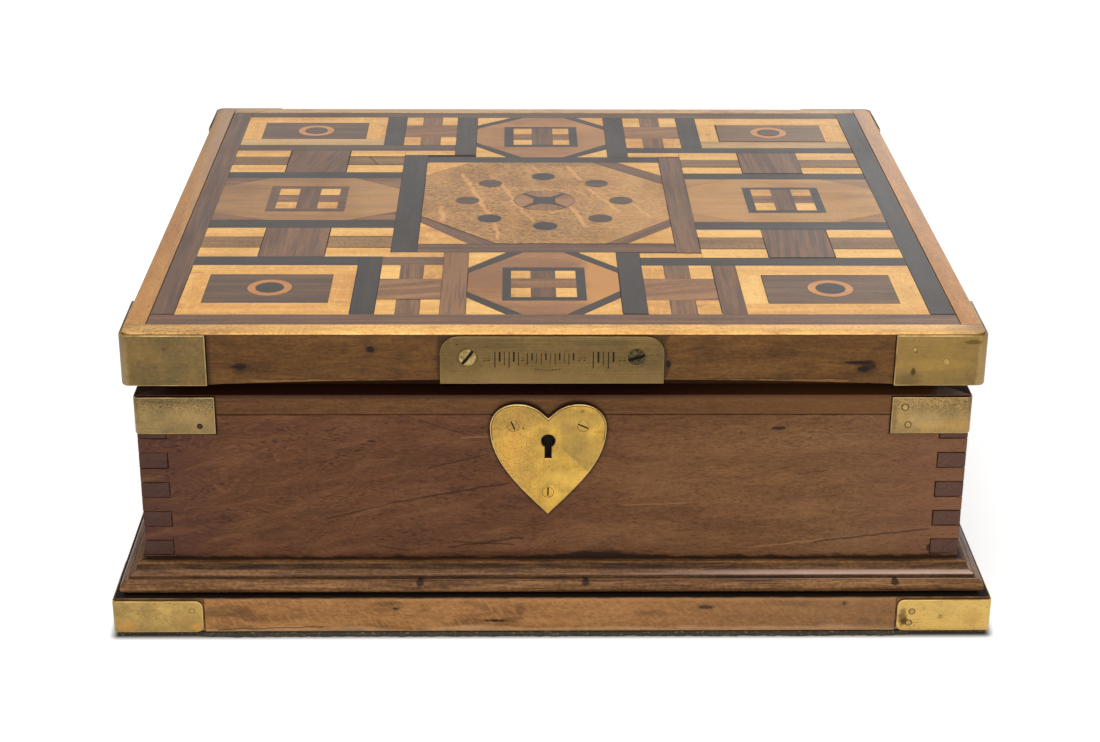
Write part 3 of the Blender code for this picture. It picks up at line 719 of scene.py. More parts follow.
def base_marks(finish, along, across, up):
    low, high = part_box("base_board")
    ragged = finish.noise(along / 12, across / 12, up / 3, 3)
    # The strap mask is painted shadow beside the straps, and the shelf mask painted shadow under the
    # moulding's nose.
    strap = beside(finish, along, abs(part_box("base_strap_front_left")[1][0]) / MM + ragged * 3, 3.0) * 0.7
    smudge = finish.spots((along / 20, across / 20, up / 5), 0.5, 0.75, 3) * 0.45
    chips = finish.noise(along / 5, across / 5, up / 1.2, 2)
    foot = finish.step(up + (chips - 0.5) * 5, low[2] / MM + 1.5, low[2] / MM + 0.3) * 0.6
    shelf = facing_up(finish) * finish.step(up, high[2] / MM - 0.6, high[2] / MM - 0.1)
    return most(finish, strap, smudge, foot, shelf)


def rim_marks(finish, along, across, up):
    # Painted shade beside the straps and, under the lid, on the shelf and the top of the front; a fainter
    # dark band runs along the foot.
    strap = beside(finish, along, abs(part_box("body_strap_front_left")[1][0]) / MM, 1.6) * 0.6
    shelf = facing_up(finish)
    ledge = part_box("body_strap_front_left")[1][2] / MM
    shade = finish.step(up, ledge - 1.9, ledge + 0.6) * 0.85
    seat = finish.step(up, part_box("rim_front")[0][2] / MM + 0.5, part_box("rim_front")[0][2] / MM)
    return most(finish, strap, shelf, shade, seat * 0.5)


def lid_front_board():
    finish = brown_board("lid_wood_front", "x", LID_BROWN, LID_KNOTS, marks=lid_marks)
    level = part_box("lid_front")[0][2] / MM + SLIVER_UP
    for left, right in LID_SLIVERS:
        below = line(finish, finish.along, finish.up, (left, level - 0.5), (right, level - 0.5), 0.8)
        finish.coat(below * 0.55, SLIVER)
        seam = line(finish, finish.along, finish.up, (left, level + 0.5), (right, level + 0.5), 0.25)
        finish.coat(seam * 0.6, GRIME_AND_SHADE)
    return finished(finish)


def rim_front_board():
    """Paler on the right, like the walls, and darkened with grime and painted shade over the heart's lobes.
    """
    finish = brown_board("rim_wood_front", "x", RIM_BROWN, marks=rim_marks, dirt_and_shade=RIM_SHADE)
    finish.coat(finish.step(finish.along, 10, 140) * 0.35, paint(112, 75, 42))
    for lobe in HEART_LOBES:
        # Dirt and painted shade over the heart's lobes.
        dirt_and_shade_over_lobe = patch(finish, (finish.along, finish.up), lobe, LOBE_SIZE, 0.05, 0.12)
        finish.coat(dirt_and_shade_over_lobe * 0.9, GRIME_AND_SHADE)
    return finished(finish)


def base_board_wood():
    """The base is rippled across its grain, warm on the left, and worn pale along its upper edge."""
    finish = brown_board("base_wood", "x", BASE_BROWN, BASE_KNOTS, 14.0, 5.0, base_marks, length=3.5)
    upright = 1 - facing_up(finish)
    ripple = finish.spots(((finish.along + finish.up * 0.6) / 1.5, finish.up / 5, 1.0), 0.48, 0.7, 2)
    finish.coat(ripple * upright * 0.32, paint(170, 124, 78))
    right = finish.step(finish.along, -10, 130)
    finish.coat(right * upright * 0.42, paint(104, 78, 56))
    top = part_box("base_board")[1][2] / MM
    worn = finish.step(finish.up, top - 2.4, top - 0.9)
    finish.coat(worn * upright * 0.25, paint(172, 120, 70))
    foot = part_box("base_board")[0][2] / MM
    rubbed = finish.noise(finish.along / 22, finish.up / 6, 4.0, 3)
    rub = finish.step(finish.up + (rubbed - 0.5) * 6, foot + 3.0, foot + 0.8)
    rub = rub * finish.step(finish.up, foot, foot + 0.5)
    finish.coat(rub * upright * 0.45, paint(186, 146, 106))
    stain = patch(finish, (finish.along, finish.up), (-140, 12.0), (11, 3.2)) * 0.4
    scar = line(finish, finish.along, finish.up, (-146, 3.2), (-98, 4.6), 0.5) * 0.6
    finish.coat(most(finish, stain, scar) * upright, GRIME_AND_SHADE)
    # Painted shadow on the shelf under the moulding's nose.
    nose_shadow = facing_up(finish) * finish.step(finish.up, top - 0.6, top - 0.1)
    finish.coat(nose_shadow * 0.45, paint(10, 7, 4))
    return finished(finish)


# Painted shade: the rim's edges lie under the lid, so their material is dark.
rim_edge = edge_wood("rim_edge", paint(28, 15, 8), paint(52, 31, 17))
lid_edge = edge_wood("lid_edge", paint(58, 36, 18), paint(106, 72, 38))
base_edge = edge_wood("base_edge", paint(64, 45, 28), paint(102, 72, 45))
print("brown boards have", len(LID_KNOTS) + len(BASE_KNOTS), "knots on the front")

# %% [markdown]
# The lid's front board has worn hollow: its lower edge rises in the middle, under the name plate, where the
# thumbs lift it. The copy is cut across every few millimetres, so that its underside can follow that curve.

# %% Lid, rim and base
BOW = 2.5 * MM
BOW_REACH = 150 * MM
BOW_CUTS = 30


def runs_along_x(edge):
    """False for the cuts, which aren't corners of the wood."""
    return abs(edge.verts[0].co.x - edge.verts[1].co.x) > MERGE_DISTANCE


def bowed_front():
    model = traced("lid_front")
    for index in range(1, BOW_CUTS):
        x = BOW_REACH * (2 * index / BOW_CUTS - 1)
        whole = model.verts[:] + model.edges[:] + model.faces[:]
        bmesh.ops.bisect_plane(model, geom=whole, plane_co=(x, 0, 0), plane_no=(1, 0, 0))
    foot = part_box("lid_front")[0][2]
    for vertex in model.verts:
        share = min(1.0, abs(vertex.co.x) / BOW_REACH)
        if vertex.co.z < foot + MERGE_DISTANCE:
            vertex.co.z += BOW * (1 - share**3)
    ease(model, BOARD_EDGE_WIDTH, 2, runs_along_x)
    return show(model, "lid_front_worn", "lid_wood", (lid_front_board(), lid_edge), "lid_front")


bowed_front()
refine("rim_front", "rim_wood", (rim_front_board(), rim_edge), BOARD_EDGE_WIDTH)
for side in ("back", "left", "right"):
    rim_wood = brown_board(f"rim_wood_{side}", SIDES[side], RIM_BROWN, marks=rim_marks, dirt_and_shade=RIM_SHADE)
    refine(f"rim_{side}", "rim_wood", (finished(rim_wood), rim_edge), BOARD_EDGE_WIDTH)
    lid_wood = brown_board(f"lid_wood_{side}", SIDES[side], LID_BROWN)
    refine(f"lid_{side}", "lid_wood", (finished(lid_wood), lid_edge), BOARD_EDGE_WIDTH)
refine("base_board", "base_wood", (base_board_wood(), base_edge), BASE_EDGE_WIDTH, 3)
panel_wood = brown_board("panel_wood", "x", LID_BROWN)
refine("lid_panel", "lid_wood", (finished(panel_wood), lid_edge), BOARD_EDGE_WIDTH)
print("the lid's front rises by", BOW / MM, "mm")

# %% [markdown]
# The moulding's profile was worked in the solid, so its copy only needs to be shaded smooth. Its colour
# holds painted shade, with some dirt, in the cove, the groove, at its foot and against the wall, and painted
# highlights on the bead and the nose, brighter towards the right. How far a point stands out from the wall
# is known here, so the finish follows that distance.

# %% Moulding
NOSE_TOP = 5.8
BEAD_TOP = 8.0
COVE_TOP = 10.7
FILLET_TOP = 12.3
NOSE_LEDGE = 7.3
MOULDING_KNOTS = (-57.5, 14.0, 148.0)
MOULDING_BROWN = (paint(56, 34, 18), paint(104, 70, 40), paint(144, 103, 64))


def moulding_wood(side, run):
    finish = Finish(f"moulding_wood_{side}")
    along, across, up = board_axes(finish, run)
    bands, streaks, pores = grain(finish, along, across, up, 6.0, 4.0, 0.7, length=16.0)
    finish.colour = finish.ramp(bands * 0.45 + streaks * 0.55, *MOULDING_BROWN)
    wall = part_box("wall_front")[0][1] if run == "x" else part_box("wall_left")[0][0]
    out = abs(across) + wall / MM
    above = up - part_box("moulding_front")[0][2] / MM
    ragged = finish.noise(along / 16, across / 6, up / 2, 3)
    bright = finish.step(along, 10, 130)
    long_streak = finish.spots((along / 26, above / 0.9, 3.0), 0.48, 0.66, 3, 0.6)
    finish.coat(long_streak * 0.5, paint(40, 25, 16))
    # The masks below paint shade, with some dirt, in the cove, the groove, at the foot and against the wall.
    fillet = finish.step(above, COVE_TOP + 0.4, FILLET_TOP - 0.4) * finish.step(out, 1.6, 2.6)
    hollow = finish.step(above, BEAD_TOP + 0.5, BEAD_TOP + 1.5) * (1 - fillet * 0.7)
    under_bead = finish.step(above, BEAD_TOP - 0.7, BEAD_TOP - 1.4)
    groove = under_bead * finish.step(above, NOSE_TOP - 0.3, NOSE_TOP - 0.1)
    groove = groove * finish.step(out, NOSE_LEDGE + 0.5, NOSE_LEDGE - 0.2)
    against_wall = finish.step(out, 2.2, 1.2) * finish.step(above, 11.0, 12.0)
    seat = most(finish, finish.step(above, 0.8, 0.1), against_wall)
    ragged_dirt_and_shade = 0.75 + finish.step(ragged, 0.35, 0.65) * 0.4
    under = finish.step(above, 1.2, 0.5) * 0.35
    dirt_and_shade = most(finish, groove * 0.55, seat * 0.85, under, hollow * (0.74 - bright * 0.3) * ragged_dirt_and_shade)
    finish.coat(dirt_and_shade, GRIME_AND_SHADE)
    # Painted highlights on the bead and the nose, stronger towards the right.
    bead = finish.step(abs(above - BEAD_TOP + 0.1), 1.0, 0.2) * (0.05 + bright * 0.77)
    nose = finish.step(abs(out - NOSE_LEDGE - 0.5), 0.7, 0.1) * finish.step(above, 5.2, 5.6)
    painted_highlight = most(finish, bead, nose * (0.1 + bright * 0.3))
    finish.coat(painted_highlight * (0.6 + ragged * 0.6), paint(190, 162, 148))
    for centre in MOULDING_KNOTS:
        knot = patch(finish, (along, above), (centre, 5.0), (1.6, 1.1))
        finish.coat(knot * 0.85, GRIME_AND_SHADE)
    roughness = 0.36 + dirt_and_shade * 0.3
    return finish.done(roughness, finish.bump(streaks * 0.4 - pores, 0.05), Specular_IOR_Level=WOOD_GLOSS)


for side, run in SIDES.items():
    name = f"moulding_{side}"
    show(traced(name), name + "_smooth", "moulding_wood", (moulding_wood(side, run),), name)
print("moulding on", len(SIDES), "sides")

# %% [markdown]
# The lid's picture is laid from thin veneers, as an inlayer lays it: each piece is cut, its grain is turned
# the way the picture asks, and it is glued on a dark bed that shows as a hairline between the pieces. Here
# a piece is a few corners, filled, inset by half the joint, extruded and bevelled. Its UV map runs along
# its own grain, and a colour attribute gives it a tone and a seed of its own, so that no two pieces of one
# wood look the same.

# %% Laying one piece of veneer
JOINT = 0.085
SHEET_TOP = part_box("parquetry")[1][2]
SHEET_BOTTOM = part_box("parquetry")[0][2]
LEVEL_STEP = 0.03 * MM
CHAMFER = 0.05 * MM
chance = random.Random(7)
veneers = {}


def veneer_sheet(wood):
    if wood not in veneers:
        model = bmesh.new()
        model.loops.layers.uv.new("grain")
        model.verts.layers.float_color.new("tile")
        veneers[wood] = model
    return veneers[wood]


def lay(wood, outline, turn=0.0, level=0, joint=JOINT, tone=None):
    """Lays a piece, whose outline is in millimetres.

    turn is its grain's angle from the X axis. A tone near 0 is dark for its wood and one near 1 pale, and
    without a tone chance decides.
    """
    model = veneer_sheet(wood)
    corners = [model.verts.new((x * MM, y * MM, SHEET_BOTTOM)) for x, y in outline]
    face = model.faces.new(corners)
    face.normal_update()
    if face.normal.z < 0:
        face.normal_flip()
    rim = bmesh.ops.inset_individual(model, faces=[face], thickness=joint * MM, use_even_offset=True)
    bmesh.ops.delete(model, geom=rim["faces"], context="FACES")
    risen = bmesh.ops.extrude_face_region(model, geom=[face])["geom"]
    top = [part for part in risen if isinstance(part, bmesh.types.BMFace)][0]
    rise = SHEET_TOP - SHEET_BOTTOM - (3 - level) * LEVEL_STEP - chance.random() * LEVEL_STEP / 2
    bmesh.ops.translate(model, verts=top.verts, vec=(0, 0, rise - CHAMFER))
    bmesh.ops.inset_individual(model, faces=[top], thickness=CHAMFER, depth=CHAMFER, use_even_offset=True)
    mark(model, top, math.radians(turn), chance.random() if tone is None else tone)


def mark(model, start, angle, tone):
    """Gives a piece's faces their UV map and its corners their tone and seed."""
    uv = model.loops.layers.uv["grain"]
    tile = model.verts.layers.float_color["tile"]
    values = (tone, chance.random(), chance.random(), 1.0)
    found = {start}
    waiting = [start]
    while waiting:
        face = waiting.pop()
        for loop in face.loops:
            x, y, z = loop.vert.co
            across = y * math.cos(angle) - x * math.sin(angle) + z
            loop[uv].uv = (x * math.cos(angle) + y * math.sin(angle), across)
            loop.vert[tile] = values
        for edge in face.edges:
            fresh = [other for other in edge.link_faces if other not in found]
            found.update(fresh)
            waiting.extend(fresh)


def box(wood, left, right, front, back, turn=0.0, level=0, joint=JOINT, tone=None):
    lay(wood, ((left, front), (right, front), (right, back), (left, back)), turn, level, joint, tone)


def disc(wood, x, y, radius, level=1, turn=0.0, sides=40, tone=None):
    outline = []
    for side in range(sides):
        angle = 2 * math.pi * side / sides
        outline.append((x + radius * math.cos(angle), y + radius * math.sin(angle)))
    lay(wood, outline, turn, level, 0.0, tone)


print("veneer is", round((SHEET_TOP - SHEET_BOTTOM) / MM, 2), "mm thick")

# %% [markdown]
# The picture is made of a few motifs that return: a framed panel with a ring, a block with four squares, a
# row of stripes with a dark block, and an octagon with a window. Each is a function that fits its motif
# between given lines. The lines were measured, so the hand-cut pieces keep their small differences in size.

# %% Motifs of the lid


def framed_panel(left, right, front, back, dark, ring, tones, inner_wood="ebony", front_wood="satinwood"):
    """A pale frame round a dark panel with a ring let into it.

    tones are those of the frame's back, front, left and right strips and of the panel.
    """
    in_left, in_right, in_front, in_back = dark
    box("satinwood", left, right, in_back, back, tone=tones[0])
    box(front_wood, left, right, front, in_front, tone=tones[1])
    box("satinwood", left, in_left, in_front, in_back, 90, tone=tones[2])
    box("satinwood", in_right, right, in_front, in_back, 90, tone=tones[3])
    box("palisander", *dark, tone=tones[4])
    x, y, outer, inner, ring_tone = ring
    disc("ebony", x, y, outer + 0.3, 0.8)
    disc("pearwood", x, y, outer, 1.5, tone=ring_tone)
    disc("ebony", x, y, inner + 0.3, 2.2)
    if inner_wood != "ebony":
        disc(inner_wood, x, y, inner - 0.5, 3, tone=0.3)


def squares_block(left, right, front, back, band, upright_left, upright_right, band_tone=0.5):
    """Four pale squares in the corners, with a dark upright behind a brown band."""
    low, high = band
    for start, end in ((front, low), (high, back)):
        box("satinwood", left, upright_left, start, end)
        box("rosewood", upright_left, upright_right, start, end, 90, tone=1.0)
        box("satinwood", upright_right, right, start, end)
    box("walnut", left, right, low, high, 12, tone=band_tone)


def stripes(left, right, front, back, low, high, pale, brown):
    box("satinwood", left, right, front, low, tone=pale)
    box("burr", left, right, low, high, tone=brown)
    box("satinwood", left, right, high, back, tone=pale)


def stripe_row(left, block_left, block_right, right, front, back, low, high, turn, tones):
    """Pale and brown stripes to both sides of a dark block.

    tones are those of the pale stripes, of the brown ones on the left, of the block and of the brown ones
    on the right.
    """
    pale, brown, dark, right_brown = tones
    stripes(left, block_left, front, back, low, high, pale, brown)
    box("rosewood", block_left, block_right, front, back, turn, tone=dark)
    stripes(block_right, right, front, back, low, high, pale, right_brown)


def window(frame_wood, left, right, front, back, panes_x, panes_y, bar_over=False):
    """A small frame with four pale panes, a dark upright and a reddish crossbar."""
    first, second, third, fourth = panes_x
    low_start, low_end, high_start, high_end = panes_y
    box(frame_wood, left, right, front, back, level=1, joint=0.0, tone=0.5)
    for start, end in ((low_start, low_end), (high_start, high_end)):
        box("satinwood", first, second, start, end, level=2)
        box("satinwood", third, fourth, start, end, level=2)
    box("rosewood", second, third, low_start, high_end, 90, level=2, tone=0.5)
    bars = ((first, fourth, 3),) if bar_over else ((first, second, 2), (third, fourth, 2))
    for start, end, level in bars:
        box("walnut", start, end, low_end, high_start, level=level, tone=0.3)


def cut_corner(left, right, front, back, corner, outer, inner, woods):
    """The pieces across one corner: a triangle out in the corner and the strip along it.

    outer and inner are how far along X and Y the two lines meet the sides, from the corner.
    """
    x, y = (left if corner[0] < 0 else right), (front if corner[1] < 0 else back)
    to_x, to_y = -corner[0], -corner[1]
    triangle_wood, strip_wood = woods
    out_x, out_y = (x + to_x * outer[0], y), (x, y + to_y * outer[1])
    in_x, in_y = (x + to_x * inner[0], y), (x, y + to_y * inner[1])
    slope = math.degrees(math.atan2(out_y[1] - out_x[1], out_y[0] - out_x[0]))
    lay(triangle_wood, ((x, y), out_x, out_y), 0, tone=0.18 if strip_wood is None else None)
    if strip_wood:
        lay(strip_wood, (out_x, in_x, in_y, out_y), slope, tone=0.7)
    return in_x, in_y


def octagon(wood, left, right, front, back, corners, woods, tone=None):
    """A field with its four corners cut off. corners holds outer and inner for each corner."""
    outline = []
    order = ((-1, -1), (1, -1), (1, 1), (-1, 1))
    for corner, (outer, inner) in zip(order, corners):
        on_x, on_y = cut_corner(left, right, front, back, corner, outer, inner, woods)
        outline += [on_y, on_x] if corner[0] == corner[1] else [on_x, on_y]
    lay(wood, outline, tone=tone)


print("motifs: framed panel, squares block, stripe row, window and octagon")

# %% [markdown]
# Now the plan itself, in millimetres from the middle of the box. It is laid from the outer bars inwards.
# Front and back, left and right mirror each other, but the bars' woods don't: the left and front ones are
# rosewood and the right and back ones ebony.

# %% Plan of the lid
FIELD_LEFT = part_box("parquetry")[0][0] / MM
FIELD_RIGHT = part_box("parquetry")[1][0] / MM
FIELD_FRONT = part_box("parquetry")[0][1] / MM
FIELD_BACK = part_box("parquetry")[1][1] / MM
PLAN_LEFT = -160.0
PLAN_RIGHT = 159.4
PLAN_FRONT = -142.3
CENTRE_LEFT, CENTRE_RIGHT = -61.0, 57.0
CENTRE_FRONT, CENTRE_BACK = -55.0, 66.8


def plan_back(x):
    """The back row's far edge runs a little out of square."""
    return 147.3 - (x - PLAN_LEFT) * 0.0075


def lay_bars():
    far_left, far_right = plan_back(PLAN_LEFT), plan_back(PLAN_RIGHT)
    box("rosewood", FIELD_LEFT, FIELD_RIGHT, FIELD_FRONT, PLAN_FRONT, tone=0.65)
    box("rosewood", FIELD_LEFT, PLAN_LEFT, PLAN_FRONT, FIELD_BACK, 90, tone=0.4)
    box("ebony", PLAN_RIGHT, FIELD_RIGHT, PLAN_FRONT, FIELD_BACK, 90)
    near_side = ((PLAN_LEFT, far_left), (PLAN_RIGHT, far_right))
    far_side = ((PLAN_RIGHT, FIELD_BACK), (PLAN_LEFT, FIELD_BACK))
    lay("palisander", near_side + far_side, tone=0.15)
    box("ebony", -73.0, CENTRE_LEFT, -66.5, 79.5, 90)
    box("ebony", CENTRE_LEFT, CENTRE_RIGHT, CENTRE_BACK, 75.8)
    box("rosewood", CENTRE_RIGHT, 68.3, -67.5, 76.0, 90, tone=0.65)
    box("rosewood", CENTRE_LEFT, CENTRE_RIGHT, -66.5, CENTRE_FRONT, tone=0.45)


def lay_front_row():
    dark, ring = (-150.5, -96.5, -129.0, -94.5), (-123, -111, 9.7, 6.0, -0.2)
    framed_panel(PLAN_LEFT, -86.5, PLAN_FRONT, -83.0, dark, ring, (0.6, 0.35, 0.6, -0.05, 0.45))
    box("ebony", -86.5, -76.0, PLAN_FRONT, -71.8, 90)
    box("ebony", PLAN_LEFT, -86.5, -83.0, -71.8)
    squares_block(-76.0, -48.5, PLAN_FRONT, -83.0, (-125.0, -100.0), -67.3, -57.0)
    box("palisander", -76.0, -48.5, -83.0, -72.4, tone=1.0)
    box("satinwood", -76.0, -48.5, -72.4, -66.5)
    box("rosewood", -48.5, -37.3, PLAN_FRONT, -66.5, 90, tone=1.55)
    corners = (
        ((17.0, 19.5), (24.0, 26.5)),
        ((16.8, 19.5), (23.5, 27.5)),
        ((17.0, 19.5), (23.5, 26.5)),
        ((17.0, 20.0), (24.5, 26.5)),
    )
    octagon("cherry", -37.3, 29.3, PLAN_FRONT, -66.5, corners, ("satinwood", "ebony"), 0.4)
    panes_x, panes_y = (-18.3, -9.5, 1.2, 10.4), (-122.5, -111.4, -100.0, -90.3)
    window("ebony", -22.0, 14.5, -126.5, -86.0, panes_x, panes_y, bar_over=True)
    box("ebony", 29.3, 40.0, PLAN_FRONT, -67.0, 90)
    squares_block(40.0, 71.3, PLAN_FRONT, -83.5, (-126.0, -100.0), 49.8, 61.0, 0.75)
    box("rosewood", 71.3, 82.0, PLAN_FRONT, -83.5, 90, tone=0.65)
    dark, ring = (92.3, 148.7, -130.0, -96.0), (121, -112, 10.0, 6.3, 0.6)
    framed_panel(82.0, PLAN_RIGHT, PLAN_FRONT, -83.5, dark, ring, (0.65, 0.5, 1.2, 1.0, 0.75))
    box("ebony", 40.0, PLAN_RIGHT, -83.5, -73.3)
    box("satinwood", 40.0, 68.3, -73.3, -67.5)


def lay_middle():
    stripe_row(PLAN_LEFT, -132.5, -102.5, -73.0, -71.8, -33.2, -60.0, -45.2, 90, (0.6, 1.1, 0.7, 1.4))
    box("ebony", PLAN_LEFT, -73.0, -33.2, -22.2)
    corners = [(cut, cut) for cut in ((26.0, 11.0), (22.5, 12.5), (23.0, 16.5), (22.0, 13.5))]
    octagon("olivewood", PLAN_LEFT, -73.0, -22.2, 41.2, corners, ("walnut", None), 0.25)
    window("rosewood", -136.0, -98.0, -10.0, 28.0, (-131.5, -121.6, -111.5, -101.8), (-5.5, 4.0, 14.5, 24.0))
    box("ebony", PLAN_LEFT, -73.0, 41.2, 50.6)
    stripe_row(PLAN_LEFT, -132.0, -101.4, -73.0, 50.6, 86.5, 62.5, 76.3, 78, (0.6, 0.45, 0.6, 0.65))
    stripe_row(68.3, 98.5, 128.9, PLAN_RIGHT, -73.3, -35.6, -61.9, -46.2, 86, (1.1, 0.8, 0.55, 0.4))
    box("ebony", 68.3, PLAN_RIGHT, -35.6, -24.6)
    corners = [(cut, cut) for cut in ((24.0, 12.0), (22.5, 12.5), (23.0, 14.5), (22.0, 13.5))]
    octagon("olivewood", 68.3, PLAN_RIGHT, -24.6, 39.8, corners, ("olivewood", None), 0.85)
    window("ebony", 95.5, 132.9, -11.5, 26.5, (99.5, 109.3, 119.2, 128.8), (-8.0, 3.0, 13.7, 23.5))
    box("ebony", 68.3, PLAN_RIGHT, 39.8, 49.1)
    stripe_row(68.3, 98.5, 128.9, PLAN_RIGHT, 49.1, 83.0, 59.0, 71.8, 94, (0.7, 0.5, 0.75, 0.7))


def lay_back_row():
    near, far = 96.5, plan_back(-85.0)
    dark, ring = (-150.0, -95.0, 107.0, 136.5), (-122.3, 121.8, 9.5, 5.8, 0.5)
    framed_panel(PLAN_LEFT, -85.0, near, far, dark, ring, (0.4, 0.6, 0.35, 0.2, 0.45), "palisander", "holly")
    box("palisander", PLAN_LEFT, -47.3, 86.5, near, tone=0.1)
    box("satinwood", -73.0, -47.3, 79.5, 86.5)
    box("ebony", -85.0, -74.7, near, far, 90)
    squares_block(-74.7, -47.3, near, plan_back(-60), (110.5, 132.0), -65.8, -55.6, 0.45)
    box("ebony", -47.3, -36.5, 79.5, plan_back(-42), 90, tone=1.6)
    corners = (
        ((16.0, 18.2), (23.5, 24.7)),
        ((16.3, 13.5), (22.8, 22.0)),
        ((14.3, 15.5), (20.8, 22.0)),
        ((18.0, 14.5), (24.5, 20.2)),
    )
    octagon("cherry", -36.5, 31.3, 75.8, plan_back(0), corners, ("satinwood", "ebony"), 0.8)
    window("ebony", -22.0, 16.5, 93.5, 129.0, (-17.2, -7.3, 3.4, 12.2), (97.0, 105.5, 115.7, 126.0))
    box("ebony", 31.3, 41.8, 75.8, plan_back(36), 90)
    squares_block(41.8, 70.7, 91.8, plan_back(56), (108.0, 129.5), 51.0, 61.4, 0.8)
    box("ebony", 70.7, 81.3, 91.8, plan_back(76), 90)
    dark, ring = (91.5, 147.5, 103.0, 133.0), (119, 119, 9.7, 5.8, 0.5)
    tones = (0.6, 0.0, 0.5, 0.5, 1.6)
    framed_panel(81.3, PLAN_RIGHT, 91.8, plan_back(120), dark, ring, tones, "palisander", "holly")
    box("ebony", 41.8, PLAN_RIGHT, 83.0, 91.8)
    box("satinwood", 41.8, 68.3, 76.0, 83.0)


lay_bars()
lay_front_row()
lay_middle()
lay_back_row()
print("woods so far:", sorted(veneers))

# %% [markdown]
# The middle of the lid is a golden, mottled panel with eight dark discs round a small medallion. The discs
# lie on a circle, an eighth of a turn apart. The medallion is four quarters of brown wood with a dark
# cross.

# %% Centre of the lid
RING_CENTRE = (-2.2, 6.6)
RING_RADIUS = 37.2
DISC_RADIUS = 5.8
DISC_WOODS = ("palisander", "palisander", "ebony", "palisander", "palisander", "ebony", "ebony", "palisander")
MEDALLION_RADIUS = 14.6
QUARTER_SIDES = 10
HALF_ARM = 1.1


def lay_centre():
    corners = (
        ((23.0, 29.5), (36.0, 38.0)),
        ((22.0, 24.0), (32.0, 34.0)),
        ((21.0, 21.3), (34.0, 35.3)),
        ((22.0, 21.3), (22.0, 21.3)),
    )
    woods = ("satinwood", "rosewood")
    octagon("lacewood", CENTRE_LEFT, CENTRE_RIGHT, CENTRE_FRONT, CENTRE_BACK, corners, woods, 0.5)
    for index, wood in enumerate(DISC_WOODS):
        angle = 2 * math.pi * index / len(DISC_WOODS)
        x = RING_CENTRE[0] + RING_RADIUS * math.cos(angle)
        y = RING_CENTRE[1] + RING_RADIUS * math.sin(angle)
        disc(wood, x, y, DISC_RADIUS, tone=-0.2 if wood == "palisander" else 0.6)


def lay_medallion():
    """Four quarters, moved outwards by half an arm, on a dark disc that shows between them."""
    x, y = RING_CENTRE
    disc("ebony", x, y, MEDALLION_RADIUS + 0.3, 1)
    quarter = [(HALF_ARM * 2.4, 0.0)]
    for side in range(QUARTER_SIDES + 1):
        angle = math.radians(90 * side / QUARTER_SIDES - 45)
        radius = MEDALLION_RADIUS - HALF_ARM
        quarter.append((HALF_ARM + radius * math.cos(angle), radius * math.sin(angle)))
    for turn, tone in enumerate((1.1, 0.7, 1.2, 0.5)):
        turned = Matrix.Rotation(math.radians(90 * turn), 2)
        outline = [turned @ Vector(point) + Vector((x, y)) for point in quarter]
        lay("walnut", outline, 90 * turn, 2, 0.0, tone)
    box("ebony", x - 5.4, x + 5.4, y - 5.2, y + 5.2, level=3, joint=0.0)


lay_centre()
lay_medallion()
print("veneers have", sum(len(model.faces) for model in veneers.values()), "faces")

# %% [markdown]
# In a hundred dry summers some veneers have shrunk, and dark wax fills the gaps beside them. Each gap is a
# thin wedge between two points. One brown stripe has cracked right through.

# %% Gaps beside the veneers
GAPS = (
    # x0, y0, x1, y1, width
    (-170, -142.3, -160, -142.3, 0.7),
    (-160, -142, -160, -86, 0.35),
    (-132.5, -71, -132.5, -34, 0.4),
    (-102.5, -71, -102.5, -34, 0.55),
    (-102.5, -60.0, -73, -60.0, 0.7),
    (-102.5, -45.2, -73, -45.2, 0.3),
    (-160, -60.0, -132.5, -60.0, 0.35),
    (-86.5, -141, -86.5, -84, 0.3),
    (-76, -141, -76, -84, 0.35),
    (-76, -125, -48.5, -125, 0.35),
    (-37.3, -120, -37.3, -92, 0.4),
    (-61, -54, -61, 40, 0.35),
    (29.3, -142.0, 40, -142.0, 0.9),
    (29.3, -141, 29.3, -92, 0.5),
    (71.3, -141, 71.3, -85, 0.5),
    (92.3, -129, 92.3, -97, 0.35),
    (92.3, -96, 148.7, -96, 0.3),
    (57, -67.5, 68.3, -67.5, 0.8),
    (57, -60, 57, 0, 0.4),
    (68.3, -62, 68.3, -46, 0.5),
    (68.3, -61.9, 98.5, -61.9, 0.4),
    (98.5, -46, 98.5, -73, 0.5),
    (128.9, -72, 128.9, -36, 0.4),
    (98.5, -73.3, 128.9, -73.3, 0.4),
    (128.9, -61.9, 159.4, -61.9, 0.4),
    (159.4, -142.3, 170, -142.3, 0.9),
    (159.4, -141, 159.4, -86, 0.4),
    (-61, -17, -25, -55, 0.5),
    (-25, -55, 57, -55, 0.4),
    (-160, 62.5, -132, 62.5, 0.3),
    (-132, 51, -132, 86, 0.6),
    (-101.4, 51, -101.4, 86, 0.6),
    (-101.4, 62.5, -73, 62.5, 0.5),
    (-101.4, 76.3, -73, 76.3, 0.4),
    (-86, 63, -91, 76, 0.3),
    (-170, 40, -170, 155, 0.5),
    (91.5, 103, 147.5, 103, 0.7),
    (91.5, 103, 91.5, 133, 0.6),
    (68.3, 59.0, 98.5, 59.0, 0.5),
    (98.5, 50, 98.5, 83, 0.5),
    (98.5, 49.1, 128.9, 49.1, 0.4),
    (128.9, 59, 159.4, 59, 0.5),
    (57, 0, 57, 76, 0.3),
    (57, 76, 68.3, 76, 0.5),
    (159.4, 20, 159.4, 140, 0.4),
)


def lay_gap(x0, y0, x1, y1, width):
    start, end = Vector((x0, y0)), Vector((x1, y1))
    side = (end - start).orthogonal().normalized() * width / 2
    lay("wax", (start - side * 0.5, end - side * 1.2, end + side * 0.8, start + side), 0, 3, 0.0)


for gap in GAPS:
    lay_gap(*gap)
print("gaps:", len(GAPS))

